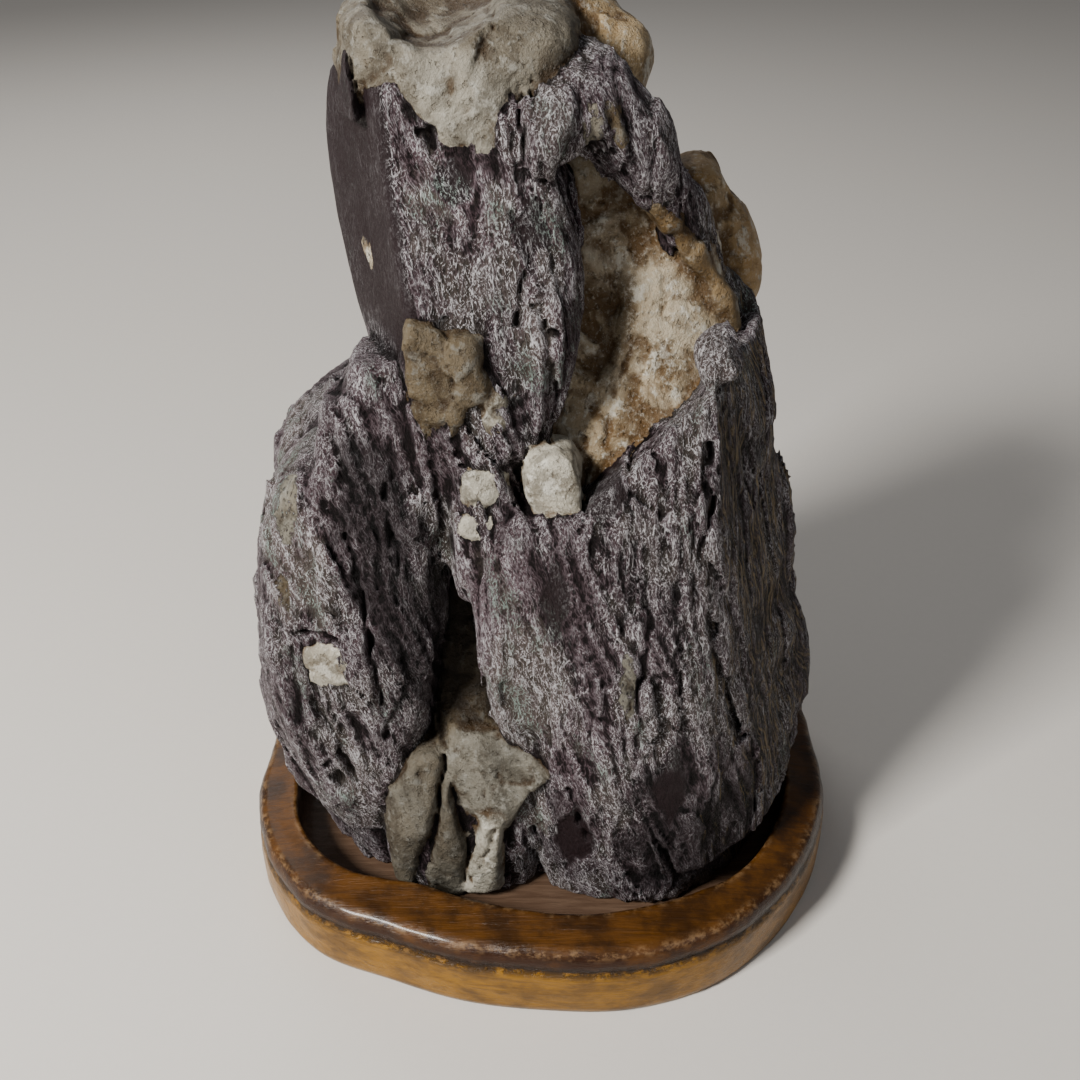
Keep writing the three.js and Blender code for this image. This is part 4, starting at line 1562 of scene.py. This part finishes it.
@dataclass
class StandPiece:
    """The stand: a shallow tray carved from one block, with a stepped side."""

    finish: WoodFinish = field(default_factory=WoodFinish)
    design_width: float = 140.33
    design_height: float = 20.0
    tray_floor: float = 10.0
    outer: float = 70.0
    inner: float = 59.0
    steps_round: int = 420
    rows_per_mm: float = 1.3
    wobble: Grain = field(default_factory=lambda: Grain(71))
    profile: tuple[tuple[float, float], ...] = (
        (0, 0), (68.2, 0), (69.3, 0.4), (69.8, 1.8), (70.0, 6.5), (69.9, 11.6), (69.5, 12.6),
        (69.0, 13.2), (69.5, 14.2), (69.6, 15.6), (69.2, 17.0), (68.4, 18.2), (67.2, 18.8),
        (64.5, 19.1), (61.5, 19.7), (60.0, 20.0), (59.2, 19.8), (58.9, 19.0), (58.5, 12.0),
        (58.0, 10.8), (56.8, 10.1), (55.0, 10.0), (0, 10.0))

    def build(self) -> bpy.types.Object:
        """Turn the carved section round the outline and dress it.

        Returns:
            The stand.
        """
        low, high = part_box("stand")
        unit = (high[0] - low[0]) / self.design_width
        lift = (high[2] - low[2]) / self.design_height
        points, side, ends = self._swept()
        placed = points * unit
        placed[:, 2] = low[2] + points[:, 2] * lift
        piece = mesh_object("stand_tray", placed, side, ends)
        self._mark(piece.data, points)
        smooth_shaded(piece.data)
        piece.data.materials.append(self.finish.material())
        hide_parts("stand")
        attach(piece, "root")
        return piece

    def _section(self) -> Array:
        """Points along the section, close enough together for the carving.

        Returns:
            Rows of radius and height.
        """
        rows = [self.profile[0]]
        for start, stop in zip(self.profile[:-1], self.profile[1:]):
            length = math.dist(start, stop)
            count = max(1, round(length * self.rows_per_mm)) if length < 15 else 24
            rows += [tuple(np.array(start) + (np.array(stop) - start) * i / count)
                     for i in range(1, count + 1)]
        return np.array(rows)

    def _rim(self, bearing: Array, column: int) -> Array:
        """Carved outer radius, or the rim's width, at each bearing.

        Args:
            bearing: Bearings in radians.
            column: 0 for the radius, 1 for the width.

        Returns:
            The radii or the widths in mm.
        """
        values = np.array(RIM_STATIONS)[:, column]
        place = (bearing / (2 * math.pi)) % 1 * len(values)
        whole = np.floor(place).astype(int)
        t = place - whole
        before, start, stop, after = (values[(whole + i) % len(values)] for i in (-1, 0, 1, 2))
        bend = 2 * before - 5 * start + 4 * stop - after
        twist = 3 * (start - stop) + after - before
        return start + 0.5 * t * (stop - before + t * (bend + t * twist))

    def _swept(self) -> tuple[Array, Array, Array]:
        """Points in mm of the section swept round the outline, its faces and its ends.

        Returns:
            The points, the four-sided faces and the ends' three-sided ones.
        """
        section = self._section()
        bearing = np.arange(self.steps_round) * 2 * math.pi / self.steps_round
        outer = self._rim(bearing, 0)
        inner = outer - self._rim(bearing, 1)
        rings = []
        for radius, height in section[1:-1]:
            if radius <= self.inner:
                reach = inner * radius / self.inner
            else:
                reach = inner + (outer - inner) * (radius - self.inner) / (self.outer - self.inner)
            x, y = reach * np.cos(bearing), reach * np.sin(bearing)
            rings.append(np.stack([x, y, np.full_like(x, height)], 1))
        middles = np.array([[0, 0, 0.0], [0, 0, self.tray_floor]])
        points = self._carved(np.concatenate(rings + [middles]))
        n, count = self.steps_round, len(rings)
        j = np.arange(n)
        after = (j + 1) % n
        faces = [np.stack([i * n + j, i * n + after, (i + 1) * n + after, (i + 1) * n + j], 1)
                 for i in range(count - 1)]
        under = np.stack([np.full(n, count * n), after, j], 1)
        last = (count - 1) * n
        over = np.stack([last + j, last + after, np.full(n, count * n + 1)], 1)
        return points, np.concatenate(faces), np.concatenate([under, over])

    def _carved(self, points: Array) -> Array:
        """Points moved a little in and out, as a knife leaves them.

        Args:
            points: Points in mm, one row each.

        Returns:
            The moved points.
        """
        x, y, z = points.T
        radius = np.maximum(np.hypot(x, y), 1e-6)
        broad = self.wobble.at(x / 9, y / 9, z / 14)
        small = self.wobble.at(x / 3 + 4, y / 3, z / 5)
        push = (0.30 * broad + 0.12 * small) * ramp(radius, 20, 50) * ramp(z, 0.1, 2.5)
        moved = points.copy()
        moved[:, 0] += x / radius * push
        moved[:, 1] += y / radius * push
        sink = (0.22 * self.wobble.at(x / 11 + 9, y / 11, z / 11) - 0.2) * ramp(z, 9.5, 12)
        moved[:, 2] += np.where(z > 9.0, sink, 0)
        return moved

    def _mark(self, mesh: bpy.types.Mesh, points: Array) -> None:
        """Store what the finish needs to know about each point.

        Args:
            mesh: The stand's mesh.
            points: Its points in mm.
        """
        x, y, z = points.T
        reach = np.hypot(x, y)
        bearing = np.arctan2(y, x)
        outer = self._rim(bearing, 0)
        inner = outer - self._rim(bearing, 1)
        inside = (reach < inner - 0.3) & (z > 5)
        set_attribute(mesh, "level", z / self.design_height)
        set_attribute(mesh, "tray", inside * ramp(-z, -19.5, -18.0))
        near_arris = np.exp(-((reach - outer + 1.6) / 1.0) ** 2) * ramp(z, 16, 18)
        near_inner = np.exp(-((reach - inner - 0.4) / 0.8) ** 2) * ramp(z, 17, 19)
        set_attribute(mesh, "edge", np.clip(near_arris + near_inner, 0, 1))


@dataclass
class Studio:
    """Pale floor, soft lights and the camera."""

    distance: float = 0.2504
    height: float = 0.2426
    side: float = -0.0005
    pitch: float = 33.0
    lens: float = 43.33
    floor_reach: float = 3.0
    floor: FloorFinish = field(default_factory=FloorFinish)

    def build(self) -> None:
        """Make the floor, the lights and the camera."""
        self._floor()
        self._light("key", (-0.46, -0.44, 0.60), 0.16, 14.0, (1.0, 0.97, 0.92))
        self._light("fill", (0.45, -0.65, 0.50), 0.5, 0.95, (0.95, 0.97, 1.0))
        self._light("rim", (-0.3, 0.6, 0.6), 0.5, 2.0, (1.0, 0.98, 0.95))
        self._world()
        self._camera()

    def _floor(self) -> None:
        """Lay a wide floor at the height that the stand rests on."""
        low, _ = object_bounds()
        far = self.floor_reach
        around = ((-far, -far), (far, -far), (far, far), (-far, far))
        corners = np.array([(x, y, low[2]) for x, y in around])
        floor = mesh_object("studio_floor", corners, np.array([[0, 1, 2, 3]]))
        floor.data.materials.append(self.floor.material())
        floor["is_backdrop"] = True

    def _light(self, name: str, place: tuple[float, float, float], size: float, power: float,
               colour: Colour) -> None:
        """Hang one soft square light that faces the stone's middle.

        Args:
            name: The light's name.
            place: Where it hangs.
            size: Length of its sides.
            power: Its power in watts.
            colour: Its colour.
        """
        data = bpy.data.lights.new(name, "AREA")
        data.shape, data.size, data.energy, data.color = "SQUARE", size, power, colour
        lamp = bpy.data.objects.new(name, data)
        lamp.location = place
        aim = Vector((0, 0, 0.09)) - Vector(place)
        lamp.rotation_euler = aim.to_track_quat("-Z", "Y").to_euler()
        bpy.context.scene.collection.objects.link(lamp)

    @staticmethod
    def _world() -> None:
        """Even, dim light from all round."""
        world = bpy.data.worlds.new("studio")
        world.use_nodes = True
        background = world.node_tree.nodes["Background"]
        background.inputs["Color"].default_value = (0.95, 0.96, 1.0, 1.0)
        background.inputs["Strength"].default_value = 0.13
        bpy.context.scene.world = world

    def _camera(self) -> None:
        """Stand the camera in front of the stone, looking down on it."""
        data = bpy.data.cameras.new("camera")
        data.lens, data.sensor_width = self.lens, 36.0
        data.clip_start = 0.01
        camera = bpy.data.objects.new("camera", data)
        camera.location = (self.side, -self.distance, self.height)
        camera.rotation_euler = (math.radians(90 - self.pitch), 0, 0)
        bpy.context.scene.collection.objects.link(camera)
        bpy.context.scene.camera = camera


def main() -> None:
    """Build the stone, the stand and the studio, and log the faces of the stone and the stand."""
    logging.basicConfig(level=logging.INFO, format="%(name)s: %(message)s")
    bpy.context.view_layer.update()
    stone = StonePiece().build()
    LOG.info("%s: %d faces", stone.name, len(stone.data.polygons))
    stand = StandPiece().build()
    LOG.info("%s: %d faces", stand.name, len(stand.data.polygons))
    Studio().build()


if __name__ == "__main__":
    main()
